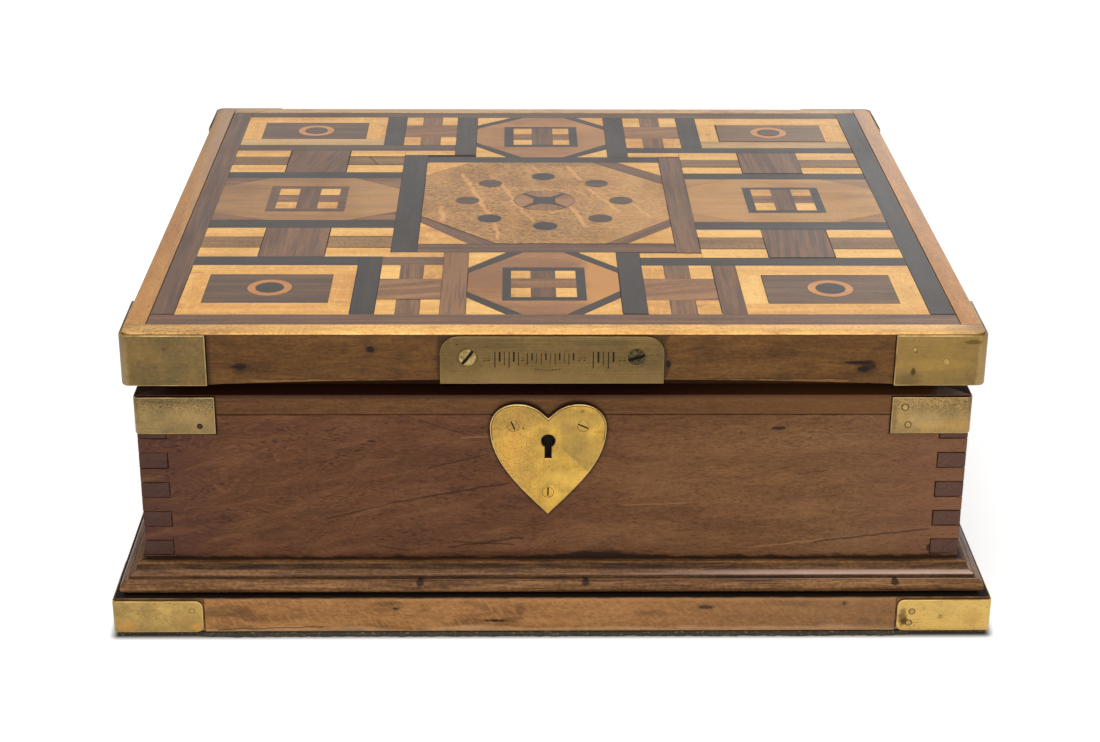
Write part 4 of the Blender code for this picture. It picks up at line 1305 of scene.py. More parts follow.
# %% [markdown]
# Each wood has its own look. Satinwood is pale and silky, ebony nearly black, rosewood purple brown with
# dark streaks, lacewood mottled with flecks and crossed by a few pale waves of painted sheen. They share one
# function that reads the piece's own grain map and gives it a tone of its own.

# %% Finishes of the veneers


def tile_axes(finish):
    """Millimetres along and across the piece's grain, then its tone and its seed."""
    place = finish.split(finish.add("ShaderNodeUVMap", {"uv_map": "grain"}))
    marks = finish.add("ShaderNodeAttribute", {"attribute_name": "tile"})
    tone, seed, _ = finish.split(marks)
    return place[0] * 1000, place[1] * 1000, tone, seed * 90


def veneer_finish(
    name, colours, variation, streak=0.7, band=5.0, pore_tone=0.4, sway=4.0, contrast=1.0, length=11.0
):
    """colours run from dark to pale, and variation is how much the tone changes from piece to piece."""
    finish = Finish(name)
    along, across, tone, seed = tile_axes(finish)
    bands, streaks, pores = grain(finish, along + seed, across, seed, sway, band, streak, 0.4, length)
    figure = (bands - 0.5) * 0.4 * contrast + (streaks - 0.5) * 0.45 * contrast
    finish.colour = finish.ramp(figure + (tone - 0.5) * variation + 0.5, *colours)
    finish.coat(pores * pore_tone, colours[0])
    finish.along, finish.across, finish.seed, finish.bands = along, across, seed, bands
    finish.rough = 0.36 + streaks * 0.08
    finish.height = streaks * 0.3 - pores * 0.7
    return finish


def close(finish):
    """Dust and polish have settled in faint clouds over all the veneers."""
    x, y, z = finish.object_axes()
    cloud = finish.spots((x / 26, y / 34, z), 0.45, 0.75, 3)
    finish.coat(cloud * 0.16, paint(70, 48, 30))
    return finish.done(finish.rough + cloud * 0.05, finish.bump(finish.height, 0.02))


def flecked(finish, length, width, low, high, strength, colour):
    """Adds short dashes along the grain to the finish's colour."""
    fleck = finish.noise(finish.along / length, finish.across / width, finish.seed + 2, 2, 0.6)
    finish.coat(finish.step(fleck, low, high) * strength, colour)


def satinwood():
    colours = (paint(190, 126, 50), paint(216, 158, 74), paint(236, 184, 100))
    finish = veneer_finish("satinwood", colours, 0.6, 0.8, 7.0, 0.2)
    flecked(finish, 1.3, 0.5, 0.52, 0.72, 0.5, paint(160, 104, 42))
    ripple = finish.noise(finish.along / 2.4, finish.across / 8, finish.seed, 2)
    finish.coat(finish.step(ripple, 0.5, 0.8) * 0.4, paint(242, 196, 116))
    stain = finish.spots((finish.along / 8, finish.across / 5, finish.seed + 3), 0.6, 0.8, 3)
    finish.coat(stain * 0.4, paint(110, 76, 38))
    return close(finish)


def holly():
    colours = (paint(160, 120, 66), paint(194, 153, 94), paint(214, 176, 120))
    finish = veneer_finish("holly", colours, 0.6, 0.8, 7.0, 0.2)
    flecked(finish, 1.3, 0.5, 0.52, 0.72, 0.5, paint(134, 100, 58))
    return close(finish)


def ebony():
    colours = (paint(20, 16, 12), paint(40, 30, 22), paint(58, 45, 36))
    return close(veneer_finish("ebony", colours, 0.2, 0.6, 4.0, 0.3))


def streaked(finish, strength):
    """Adds the black lines of rosewood."""
    dark = finish.noise(finish.along / 34, finish.across / 1.3, finish.seed + 5, 2)
    finish.coat(finish.step(dark, 0.5, 0.66) * strength, paint(42, 28, 20))
    return finish


def rosewood():
    colours = (paint(60, 36, 22), paint(96, 62, 35), paint(138, 94, 54))
    return close(streaked(veneer_finish("rosewood", colours, 0.55, 0.8, 2.4, 0.5, 5.0, 0.95, 20.0), 0.42))


def palisander():
    colours = (paint(54, 34, 20), paint(94, 64, 37), paint(124, 90, 56))
    return close(streaked(veneer_finish("palisander", colours, 0.4, 0.5, 3.0, 0.5, 1.5, 1.2), 0.4))


def walnut():
    colours = (paint(88, 54, 28), paint(130, 86, 44), paint(158, 110, 64))
    return close(veneer_finish("walnut", colours, 0.5, 1.2, 6.0, 0.5, 6.0, 1.4))


def burr():
    colours = (paint(84, 54, 24), paint(124, 84, 38), paint(150, 110, 58))
    finish = veneer_finish("burr", colours, 0.4, 0.9, 4.0, 0.4)
    curl = finish.noise(finish.along / 0.9, finish.across / 2.4, finish.seed, 3)
    finish.coat(finish.step(curl, 0.5, 0.66) * 0.5, paint(74, 48, 22))
    return close(finish)


def pearwood():
    colours = (paint(168, 106, 50), paint(190, 126, 63), paint(208, 146, 82))
    return close(veneer_finish("pearwood", colours, 0.3, 1.0, 6.0, 0.2))


def cherry():
    colours = (paint(110, 68, 34), paint(146, 96, 48), paint(184, 128, 68))
    finish = veneer_finish("cherry", colours, 0.5, 1.2, 14.0, 0.3, 9.0, 0.9)
    x, y, z = finish.object_axes()
    ragged = finish.noise(x / 5, y / 9, z, 3)
    golden = finish.step(x + (ragged - 0.5) * 10, 9, 18) * finish.step(y, -60, -70)
    golden = golden * finish.step(y, -134, -124)
    finish.coat(golden * 0.75, paint(196, 134, 60))
    browner = finish.step(y, -84, -74) * finish.step(y, -60, -64) * finish.step(x, 12, -4)
    finish.coat(browner * 0.15, paint(104, 64, 34))
    paler = finish.step(y, 70, 76) * finish.step(x, 8, 22)
    finish.coat(paler * 0.4, paint(182, 130, 76))
    return close(finish)


def olivewood():
    colours = (paint(132, 92, 46), paint(160, 112, 56), paint(184, 132, 68))
    finish = veneer_finish("olivewood", colours, 0.8, 1.3, 7.0, 0.3, 8.0, 1.2)
    flecked(finish, 1.6, 0.5, 0.54, 0.72, 0.35, paint(104, 70, 34))
    x, _, _ = finish.object_axes()
    inner = finish.step(abs(x), 108, 84)
    finish.coat(inner * 0.35, paint(192, 140, 78))
    return close(finish)


# Pale waves of painted sheen across the lacewood.
SHEEN_WAVES = (
    # its back end and its front end, each as y and x, and its width
    ((50.0, -43.5), (-25.8, -26.2), 1.7),
    ((-25.8, -26.2), (-49.0, -24.2), 1.3),
    ((33.6, -23.3), (6.6, -17.0), 1.5),
    ((6.6, -17.0), (-25.8, -7.5), 1.7),
    ((62.0, 10.2), (37.6, 16.2), 1.4),
    ((6.6, 9.3), (-32.7, 16.7), 1.6),
    ((25.7, 19.7), (-11.7, 34.0), 1.7),
    ((2.9, 39.7), (-18.8, 48.9), 1.2),
    ((-2.0, -52.0), (-24.0, -50.5), 2.0),
    ((60.0, -7.5), (44.0, -1.0), 1.3),
)


def lacewood():
    colours = (paint(148, 100, 40), paint(180, 128, 58), paint(206, 152, 80))
    finish = veneer_finish("lacewood", colours, 0.0, 1.8, 12.0, 0.1, 6.0)
    flecked(finish, 1.8, 0.8, 0.47, 0.57, 0.75, paint(112, 72, 30))
    flecked(finish, 2.8, 0.8, 0.56, 0.64, 0.7, paint(74, 45, 20))
    x, y, _ = finish.object_axes()
    for start, end, width in SHEEN_WAVES:
        wave = line(finish, y, x, start, end, width)
        finish.coat(wave * 0.5, paint(228, 164, 90))
    cloud = finish.noise(x / 12, y / 30, 4.0, 2)
    finish.coat(finish.step(cloud, 0.5, 0.72) * 0.25, paint(222, 162, 90))
    finish.coat(finish.step(x, 4, 42) * 0.35, paint(206, 152, 84))
    return close(finish)


def wax():
    finish = veneer_finish("wax", (paint(12, 9, 7), paint(22, 16, 12), paint(40, 30, 22)), 0.5)
    finish.rough = 0.85
    return close(finish)


def show_veneers():
    striped_woods = (satinwood, holly, ebony, rosewood, palisander, walnut)
    figured_woods = (burr, pearwood, cherry, olivewood, lacewood)
    for maker in (*striped_woods, *figured_woods, wax):
        name = maker.__name__
        model = veneers[name]
        bmesh.ops.recalc_face_normals(model, faces=model.faces)
        show(model, f"veneer_{name}", "inlay", (maker(),), "parquetry")


show_veneers()
print("sheets of veneer:", len(veneers))

# %% [markdown]
# Under the veneers lies the glue bed, a little lower than their tops, so that it shows only in the joints.
# It is the merged copy of the inlay's solid, with its top lowered.

# %% Glue bed
BED_DROP = 0.22 * MM


def show_bed():
    model = traced("parquetry")
    raised = [vertex for vertex in model.verts if vertex.co.z > SHEET_TOP - MERGE_DISTANCE]
    bmesh.ops.translate(model, verts=raised, vec=(0, 0, -BED_DROP))
    finish = Finish("glue_bed")
    x, y, z = finish.object_axes()
    finish.colour = finish.mix(finish.noise(x / 4, y / 4, z), paint(30, 20, 14), paint(54, 38, 26))
    return show(model, "glue_bed", "inlay", (finish.done(0.7),), "parquetry")


show_bed()
print("joints are", 2 * JOINT, "mm wide")

# %% [markdown]
# The border is satinwood too, thick enough to be rounded over by hands. Its front strip is the brightest,
# dirt sits at its corners, and each strip is darker on its sides, below its top.

# %% Border
BORDER_WOODS = {
    "front": (paint(196, 136, 60), paint(228, 171, 85), paint(246, 200, 118)),
    "back": (paint(166, 127, 80), paint(196, 157, 106), paint(219, 180, 131)),
    "left": (paint(138, 88, 34), paint(168, 114, 47), paint(194, 140, 66)),
    "right": (paint(143, 88, 30), paint(176, 115, 42), paint(206, 145, 66)),
}


def border_wood(side, run):
    finish = Finish(f"border_wood_{side}")
    along, across, up = board_axes(finish, run)
    bands, streaks, pores = grain(finish, along, across, up, 5.0, 7.0, 0.8)
    share = bands * 0.35 + streaks * 0.55 + 0.05
    finish.colour = finish.ramp(share, *BORDER_WOODS[side])
    fleck = finish.spots((along / 1.3, across / 0.8, up / 0.8), 0.5, 0.62, 2, 0.6)
    finish.coat(fleck * 0.46, paint(144, 92, 40))
    glint = finish.spots((along / 1.5, across / 0.9 + 7, up), 0.53, 0.63, 2, 0.6)
    finish.coat(glint * 0.4, BORDER_WOODS[side][2])
    cloud = finish.noise(along / 16, across / 5, up / 4, 3)
    finish.coat(finish.step(cloud, 0.48, 0.7) * 0.4, paint(140, 92, 46))
    if side == "left":
        finish.coat(finish.step(along, 0, 150) * 0.5, paint(138, 104, 62))
    if side == "front":
        finish.coat(finish.step(along, 60, 170) * 0.35, paint(206, 160, 102))
    dark = finish.spots((along / 6, across / 3, up / 3 + 4), 0.62, 0.76, 3)
    left_end = finish.step(along, -80, -172) if side == "front" else 0.0
    corner = finish.step(abs(along), 158, 178) * cloud
    finish.coat(most(finish, dark * 0.55, corner, left_end * (0.35 + fleck * 0.4)), paint(96, 64, 36))
    # Darker on the sides, below the top of the strip.
    lower = finish.step(up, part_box("border_front")[1][2] / MM - 0.35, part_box("border_front")[0][2] / MM)
    finish.coat(lower * 0.6, paint(120, 74, 34))
    gloss = 0.35 if side == "right" else 0.5
    height = finish.bump(streaks * 0.3 - pores * 0.6, 0.04)
    return finish.done(0.38 + streaks * 0.08, height, Specular_IOR_Level=gloss)


for side, run in SIDES.items():
    name = f"border_{side}"
    show(traced(name), name + "_smooth", "border_wood", (border_wood(side, run),), name)
print("border strips:", len(SIDES))

# %% [markdown]
# The brass has had a century of polish and neglect. Under a thin tarnish it is golden, fingers keep its
# edges bright, and its upper edges, where no cloth reaches, are brown with dust. Long fine scratches run
# along the plates. All of this changes only the colour and the roughness, because tarnish has hardly any
# thickness. The body's straps are speckled where dirt bit into them, and the lid's straps stand a little
# proud of the border.

# %% Brass
DUST = paint(44, 32, 20)
# millimetres along Y between which the handled front edge changes to the dusty rest
HANDLED = (-160.0, -157.0)


def brass(
    name,
    dull,
    golden,
    clean=(0.4, 0.6),
    patch_size=14.0,
    scratches=1.0,
    roughness=0.36,
    marks=(),
    wear=None,
    speckled=None,
    front_top=None,
):
    """Old brass, dull where it is tarnished and golden where it is clean.

    clean holds the share of golden brass at the left and at the right end of the box. Each mark is a stain
    or a painted highlight: its centre and its size along X and Z, its strength and its colour. wear is a
    function that adds more to the colour. speckled gives the height above which the brass is pitted with
    grime, and how much. front_top is the colour of the top edge at the front, where hands keep it cleaner.
    """
    finish = Finish(name)
    x, y, z = finish.object_axes()
    around = x + y
    large = finish.noise(around / patch_size, y / patch_size, z / patch_size, 3, 0.5)
    small = finish.noise(around / 1.7, y / 1.7, z / 1.7, 3, 0.6)
    share = clean[0] + finish.step(x, -150, 150) * (clean[1] - clean[0])
    gold = finish.step(share + (large - 0.5) * 1.3 + (small - 0.5) * 0.7, 0.0, 1.0)
    finish.colour = finish.mix(gold, dull, golden)
    lines = finish.noise(around / 26, y / 4, z / 0.3, 3, 0.6)
    dark_line = finish.step(lines, 0.5, 0.75) * scratches
    finish.coat(dark_line * 0.3, paint(66, 54, 36))
    specks = finish.spots((around / 0.75, y / 0.75, z / 0.75), 0.6, 0.72, 2)
    some = finish.spots((around / 9, y / 9, z / 6 + 5), 0.42, 0.62, 3)
    if speckled:
        level, strength = speckled
        fine = finish.spots((around / 0.55, y / 0.55, z / 0.55 + 8), 0.51, 0.62, 2)
        some = most(finish, some, finish.step(z, level, level + 6) * strength)
        specks = most(finish, specks, fine * finish.step(z, level, level + 8) * strength)
    finish.coat(specks * some * 0.7, paint(56, 42, 26))
    for centre_x, centre_z, size_x, size_z, strength, stain in marks:
        mark = patch(finish, (x, z), (centre_x, centre_z), (size_x, size_z), 0.9, 0.7)
        finish.coat(mark * strength * finish.step(y, 0, -20), stain)
    if wear:
        wear(finish, x, z)
    dust = finish.mix(finish.step(y, *HANDLED), front_top, DUST) if front_top else DUST
    finish.coat(facing_up(finish, 0.5, 0.9) * 0.92, dust)
    rough = roughness + (1 - gold) * 0.12 + dark_line * 0.08
    height = lines * 0.4 - specks * some
    return finish.done(rough, finish.bump(height, 0.02), Metallic=1.0)


def bright_edge(name, low, high):
    finish = Finish(name)
    x, y, z = finish.object_axes()
    wear = finish.spots((x / 11, y / 11, z / 11), 0.3, 0.7, 4, 0.6)
    finish.colour = finish.mix(wear, low, high)
    return finish.done(0.36, Metallic=1.0)


OLIVE = paint(78, 66, 44)
ORANGE = paint(190, 134, 66)
BROWN = paint(54, 37, 22)
BRIGHT = paint(186, 158, 110)
lid_brass = brass(
    "lid_brass",
    paint(96, 81, 56),
    paint(139, 111, 62),
    (0.38, 0.8),
    22.0,
    1.1,
    0.4,
    (
        # The first and sixth marks are painted highlights: pale bands of light on the straps' bends.
        (-179.5, 126.0, 2.6, 30.0, 0.6, paint(150, 130, 94)),
        (157.0, 124.5, 15.0, 2.6, 0.22, paint(176, 138, 66)),
        (149.5, 121.3, 0.9, 1.8, 0.8, BROWN),
        (150.0, 130.5, 0.9, 0.9, 0.5, BROWN),
        (148.0, 118.0, 5.0, 3.0, 0.35, OLIVE),
        (178.5, 126.0, 2.4, 30.0, 0.5, paint(172, 144, 98)),
        (174.0, 134.6, 3.6, 1.0, 0.55, BROWN),
        (-161.5, 131.5, 1.0, 0.8, 0.3, BROWN),
    ),
    front_top=paint(150, 122, 78),
)
body_brass = brass(
    "body_brass",
    paint(114, 98, 67),
    paint(160, 131, 82),
    (0.4, 0.62),
    11.0,
    0.9,
    0.38,
    (
        (143.6, 98.0, 1.6, 7.0, 0.4, OLIVE),
        (166.0, 94.6, 12.0, 2.4, 0.35, paint(180, 140, 74)),
        (150.0, 100.0, 5.0, 6.0, 0.12, paint(190, 158, 100)),
        (-156.0, 106.6, 18.0, 2.4, 0.4, OLIVE),
        (158.0, 97.0, 7.0, 3.4, 0.25, BRIGHT),
    ),
    speckled=(96.5, 1.0),
)
base_brass = brass(
    "base_brass",
    paint(140, 116, 70),
    paint(197, 162, 92),
    (0.36, 0.86),
    10.0,
    0.6,
    0.34,
    (
        (-158.0, 9.0, 5.0, 4.0, 0.3, paint(178, 138, 74)),
        (-154.0, 4.5, 2.0, 2.0, 0.7, ORANGE),
        (-184.0, 5.0, 4.0, 2.5, 0.5, ORANGE),
        (151.5, 9.0, 1.8, 4.0, 0.7, BROWN),
        (152.6, 7.0, 1.6, 1.6, 0.7, BROWN),
        (182.0, 9.0, 4.0, 4.0, 0.35, paint(168, 128, 70)),
    ),
)
edge_brass = bright_edge("edge_brass", paint(120, 99, 64), paint(186, 158, 108))
edge_gold = bright_edge("edge_gold", paint(168, 134, 76), paint(216, 182, 116))
STRAPS = {
    "lid": ("dull_brass", lid_brass, edge_brass, 0.5 * MM),
    "body": ("dull_brass", body_brass, edge_brass, 0.35 * MM),
    "base": ("bright_brass", base_brass, edge_gold, 0.4 * MM),
}
CORNERS = ("front_left", "front_right", "back_left", "back_right")
STRAP_RISE = 1.2 * MM
FRONT_RISE = 0.5 * MM
STRAP_BEND = 6 * MM


def raised_strap(name, slot, materials, width):
    """The lid's straps stand up to the border, so that their edges show, but less along the front."""
    model = traced(name)
    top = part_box(name)[1][2]
    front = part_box("lid_strap_front_left")[0][1]
    upper = [vertex for vertex in model.verts if vertex.co.z > top - MERGE_DISTANCE]
    along_front = [vertex for vertex in upper if vertex.co.y < front + STRAP_BEND]
    farther_back = [vertex for vertex in upper if vertex.co.y >= front + STRAP_BEND]
    bmesh.ops.translate(model, verts=farther_back, vec=(0, 0, STRAP_RISE))
    bmesh.ops.translate(model, verts=along_front, vec=(0, 0, FRONT_RISE))
    ease(model, width)
    return show(model, name + "_worn", slot, materials, name)


for level, (slot, material, edge, width) in STRAPS.items():
    for corner in CORNERS:
        maker = raised_strap if level == "lid" else refine
        maker(f"{level}_strap_{corner}", slot, (material, edge), width)
print("straps:", len(STRAPS) * len(CORNERS))

# %% [markdown]
# The straps are held by small pins, filed flush. On the front a few of them show as round heads in a dark
# ring, and one as an open hole, a dark disc of painted shade. A pin is a short cylinder that barely stands
# out of the strap, on a wider and lower one of dirt.

# %% Pins of the straps
PIN_SIDES = 20
PIN_PROUD = 0.12 * MM
DIRT_PROUD = 0.03 * MM
PIN_SUNK = 0.5 * MM
PINS = (
    # strap, x, z, radius, width of the dirt round it
    ("body_strap_front_right", 148.3, 103.0, 1.3, 0.35),
    ("body_strap_front_right", 150.0, 94.9, 1.2, 0.3),
    ("base_strap_front_right", 155.5, 11.8, 1.2, 0.3),
    ("base_strap_front_right", 154.4, 6.3, 1.2, 0.35),
    ("base_strap_front_right", 168.0, 9.3, 0.8, 0.12),
    ("base_strap_front_left", -155.6, 13.0, 1.1, 0.14),
    ("lid_strap_front_right", 163.0, 125.6, 1.4, 0.1),
    ("lid_strap_front_right", 149.6, 131.2, 0.8, 0.1),
)
OPEN_HOLE = ("body_strap_front_left", -149.3, 94.4, 1.25)
STUMP = ("body_strap_front_left", -149.4, 94.2, 0.6)
SMALL_EDGE = 0.06 * MM


def facing_cylinder(strap, x, z, radius, proud):
    """A short cylinder that looks out of the front of a strap."""
    model = bmesh.new()
    depth = proud + PIN_SUNK
    reach = radius * MM
    bmesh.ops.create_cone(model, cap_ends=True, segments=PIN_SIDES, radius1=reach, radius2=reach, depth=depth)
    bmesh.ops.rotate(model, verts=model.verts, matrix=Matrix.Rotation(math.pi / 2, 3, "X"))
    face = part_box(strap)[0][1]
    bmesh.ops.translate(model, verts=model.verts, vec=(x * MM, face - proud + depth / 2, z * MM))
    return model


def place_pins():
    for index, (strap, x, z, radius, ring) in enumerate(PINS):
        dirt_and_shade = facing_cylinder(strap, x, z, radius + ring, DIRT_PROUD)
        show(dirt_and_shade, f"pin_dirt_{index}", "bright_brass", (old_dirt_and_shade,))
        head = facing_cylinder(strap, x, z, radius, PIN_PROUD)
        ease(head, SMALL_EDGE, 1)
        show(head, f"pin_{index}", "bright_brass", (pin_brass, edge_brass))
    # The open hole is a dark disc, painted shade.
    hole = facing_cylinder(*OPEN_HOLE, DIRT_PROUD)
    show(hole, "pin_hole", "bright_brass", (old_dirt_and_shade,))
    stump = facing_cylinder(*STUMP, DIRT_PROUD * 1.5)
    show(stump, "pin_stump", "bright_brass", (pin_stub,))


old_dirt_and_shade = dark_finish("old_dirt_and_shade", paint(14, 10, 7), paint(44, 31, 20))
pin_stub = dark_finish("pin_stub", paint(40, 31, 20), paint(70, 55, 37))
pin_brass = brass("pin_brass", paint(126, 102, 58), paint(178, 144, 82), (0.5, 0.6), 2.0, 0.8)
place_pins()
print("pins on the front:", len(PINS))

# %% [markdown]
# The heart-shaped plate round the keyhole is the brightest brass. Its rim was filed to a slope, so its copy
# gets a wider bevel, and it is duller to the upper right. Its screws were filed flush with it, and only
# their slots and a thin ring show. Dirt fills the slots, so the faces that lie deeper than the front take a
# dark material. The sides of the keyhole are painted dark as shade, and a thin line of painted shade runs
# inside the rim of the two lobes.

# %% Keyhole plate and its screws


def darken_depths(piece, depth, material):
    """Gives the faces that lie deeper than this behind the piece's front a dark material."""
    piece.data.materials.append(material)
    last = len(piece.data.materials) - 1
    front = min(vertex.co.y for vertex in piece.data.vertices)
    for face in piece.data.polygons:
        deepest = max(piece.data.vertices[index].co.y for index in face.vertices)
        nearest = min(piece.data.vertices[index].co.y for index in face.vertices)
        inside = face.center.y > front + depth and deepest - nearest < depth / 2 and face.normal.y < -0.5
        if inside:
            face.material_index = last


HEART_EDGE = 0.55 * MM
HOLE_EDGE = 0.12 * MM
LOBES_FROM = 89.0 * MM
RIM_LINE = 0.32 * MM
SCREWS = ("escutcheon_screw_left", "escutcheon_screw_right", "escutcheon_screw_lower")
SCREW_REACH = 3.4 * MM
KEYHOLE_X, KEYHOLE_Z = -2.4 * MM, 87.6 * MM
KEYHOLE_REACH = 9.0 * MM
SLOT_DEPTH = 0.2 * MM
CREASE = ((3.4, 83.6), (15.0, 72.3))
heart_marks = (
    (8.0, 97.0, 11.0, 4.5, 0.35, paint(150, 124, 74)),
    (-18.0, 84.0, 5.0, 9.0, 0.4, paint(210, 158, 66)),
    (-13.0, 93.7, 0.45, 0.45, 1.0, BROWN),
    (-15.0, 98.5, 10.0, 5.0, 0.65, paint(142, 116, 58)),
    (7.0, 70.0, 9.0, 4.6, 0.3, paint(232, 188, 92)),
    (-1.0, 61.0, 4.0, 5.0, 0.4, paint(232, 184, 80)),
    (12.0, 101.5, 1.0, 0.8, 0.6, paint(90, 66, 40)),
)


def in_a_hole(place):
    """Whether a point belongs to the keyhole or to a screw's hole, and not to the heart's outline."""
    holes = [(KEYHOLE_X, KEYHOLE_Z, KEYHOLE_REACH)]
    for name in SCREWS:
        low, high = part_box(name)
        holes.append(((low[0] + high[0]) / 2, (low[2] + high[2]) / 2, SCREW_REACH))
    return any(math.hypot(place.x - x, place.z - z) < reach for x, z, reach in holes)


def middle(edge):
    return (edge.verts[0].co + edge.verts[1].co) / 2


def heart_wear(finish, x, z):
    """A duller field right of a crease, a pink haze with brown specks on the left, and fine scratches."""
    (x0, z0), (x1, z1) = CREASE
    length = math.hypot(x1 - x0, z1 - z0)
    past = ((z - z0) * ((x1 - x0) / length)) + ((x - x0) * ((z0 - z1) / length))
    cloud = finish.noise(x / 6, z / 6, 1.0, 3)
    dull = finish.step(past + (cloud - 0.5) * 1.2, 0.0, 0.9) * finish.step(past + (cloud - 0.5) * 6, 15, 7)
    dull = dull * finish.step(x, 1.5, 4.5) * finish.step(abs(x - 9), 14, 9)
    finish.coat(dull * 0.5, paint(130, 108, 66))
    left = finish.step(x, 3, -14) * finish.step(z, 60, 72)
    haze = finish.spots((x / 1.1, z / 1.5, 7.0), 0.44, 0.6, 3, 0.65)
    finish.coat(haze * (0.15 + left * 0.4), paint(186, 136, 88))
    speck = finish.spots((x / 0.7, z / 0.8, 2.0), 0.58, 0.67, 2)
    finish.coat(speck * (left * 0.55 + 0.1), paint(110, 70, 40))
    scratch = finish.spots((x / 0.35, z / 12, 4.0), 0.52, 0.7, 2)
    finish.coat(scratch * 0.22, paint(120, 96, 60))


def heart_plate():
    """The plate with a filed rim, and painted shade in a thin line inside its lobes' rim and in its keyhole.
    """
    model = traced("escutcheon")
    ease(model, HEART_EDGE, 3, lambda edge: not in_a_hole(middle(edge)))
    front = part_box("escutcheon")[0][1]
    facing = [face for face in model.faces if face.normal.y < -0.99]
    flat = [face for face in facing if face.calc_center_median().y < front + HOLE_EDGE]
    # A thin line of painted shade inside the rim of the upper lobes.
    for face in bmesh.ops.inset_region(model, faces=flat, thickness=RIM_LINE, use_even_offset=True)["faces"]:
        place = face.calc_center_median()
        if place.z > LOBES_FROM and not in_a_hole(place):
            face.material_index = 2
    # The sides of the keyhole and of the screw holes take the dark material, painted shade.
    for face in model.faces:
        place = face.calc_center_median()
        if abs(face.normal.y) < 0.3 and in_a_hole(place):
            face.material_index = 3
    materials = (heart_brass, edge_gold, rim_line, hole_dirt_and_shade)
    return show(model, "escutcheon_worn", "bright_brass", materials, "escutcheon")


heart_golds = (paint(150, 121, 60), paint(203, 163, 71))
heart_brass = brass("heart_brass", *heart_golds, (0.5, 0.52), 7.0, 0.25, 0.34, heart_marks, heart_wear)
rim_line = dark_finish("rim_line", paint(24, 18, 10), paint(58, 44, 24))
heart_plate()
for name in SCREWS:
    screw = refine(name, "bright_brass", (heart_brass, edge_gold), SMALL_EDGE, 1)
    darken_depths(screw, SLOT_DEPTH, hole_dirt_and_shade)
print("keyhole plate and", len(SCREWS), "screws")

# %% [markdown]
# The name plate was brushed from end to end and went olive. It carries rows of shallow engraved strokes.
# They are cut with a Boolean from small bars, and the cut faces keep the bars' dark material, like the wax
# that an engraver rubs in.

# %% Name plate
PLATE_EDGE = 0.25 * MM
PLATE_SCREW_EDGE = 0.1 * MM
PLATE_SLOT_DEPTH = 0.55 * MM
STROKE_DEPTH = 0.25 * MM
STROKE_GROUPS = (
    # left, right, low, high, strokes, widest
    (-24.8, -15.0, 123.2, 130.3, 6, 0.75),
    (-11.3, 7.8, 124.6, 129.8, 11, 0.6),
    (16.0, 24.4, 122.8, 130.3, 5, 0.8),
)
TICKS = (-29.0, -27.4, -13.4, 10.2, 12.4, 27.2, 28.9)
SCROLL = (-8.0, 2.0, 122.0, 8)


def stroke(model, x, z, length, width, turn=0.0):
    """Adds one bar to the cutter, lying in the plate's face."""
    size = Matrix.Diagonal((length * MM, width * MM, 2 * STROKE_DEPTH, 1))
    turned = Matrix.Rotation(math.radians(turn), 4, "Z")
    upright = Matrix.Rotation(math.pi / 2, 4, "X")
    place = Matrix.Translation((x * MM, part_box("name_plate")[0][1], z * MM)) @ upright
    bmesh.ops.create_cube(model, size=1, matrix=place @ turned @ size)


def stroke_rows(model):
    """Three groups of upright strokes with small ticks between them, over a low row."""
    for left, right, low, high, count, widest in STROKE_GROUPS:
        pitch = (right - left) / (count - 1)
        for index in range(count):
            height = (high - low) * (1.0, 0.62, 0.86)[index % 3]
            width = widest * (0.55, 1.0, 0.4)[index % 3]
            stroke(model, left + index * pitch, high - height / 2, height, width, 90)
    for x in TICKS:
        stroke(model, x, 126.4, 1.2, 0.3, 25)
        stroke(model, x, 127.6, 0.9, 0.25, -25)
    left, right, level, count = SCROLL
    for index in range(count):
        share = index / (count - 1)
        stroke(model, left + (right - left) * share, level + abs(share - 0.5), 1.0, 0.3, 60 * (share - 0.5))


def engrave():
    piece = refine("name_plate", "dull_brass", (plate_brass, plate_edge), PLATE_EDGE)
    bars = bmesh.new()
    stroke_rows(bars)
    mesh = bpy.data.meshes.new("strokes")
    bars.to_mesh(mesh)
    bars.free()
    mesh.materials.append(engraver_wax)
    cutter = bpy.data.objects.new("strokes", mesh)
    bpy.context.scene.collection.objects.link(cutter)
    cut = piece.modifiers.new("strokes", "BOOLEAN")
    cut.operation = "DIFFERENCE"
    cut.solver = "EXACT"
    cut.material_mode = "TRANSFER"
    cut.object = cutter
    bpy.context.view_layer.update()
    graph = bpy.context.evaluated_depsgraph_get()
    carved = bpy.data.meshes.new_from_object(piece.evaluated_get(graph))
    piece.modifiers.clear()
    piece.data = carved
    bpy.data.objects.remove(cutter)
    return piece


def plate_wear(finish, x, z):
    """Brushed from end to end, and paler towards the foot, where thumbs lift the lid."""
    brushed = finish.spots((x / 44, z / 0.4, 1.0), 0.5, 0.72, 3, 0.6)
    finish.coat(brushed * 0.28, paint(150, 124, 82))
    finish.coat(finish.step(z, 126, 116.5) * 0.36, paint(148, 118, 74))


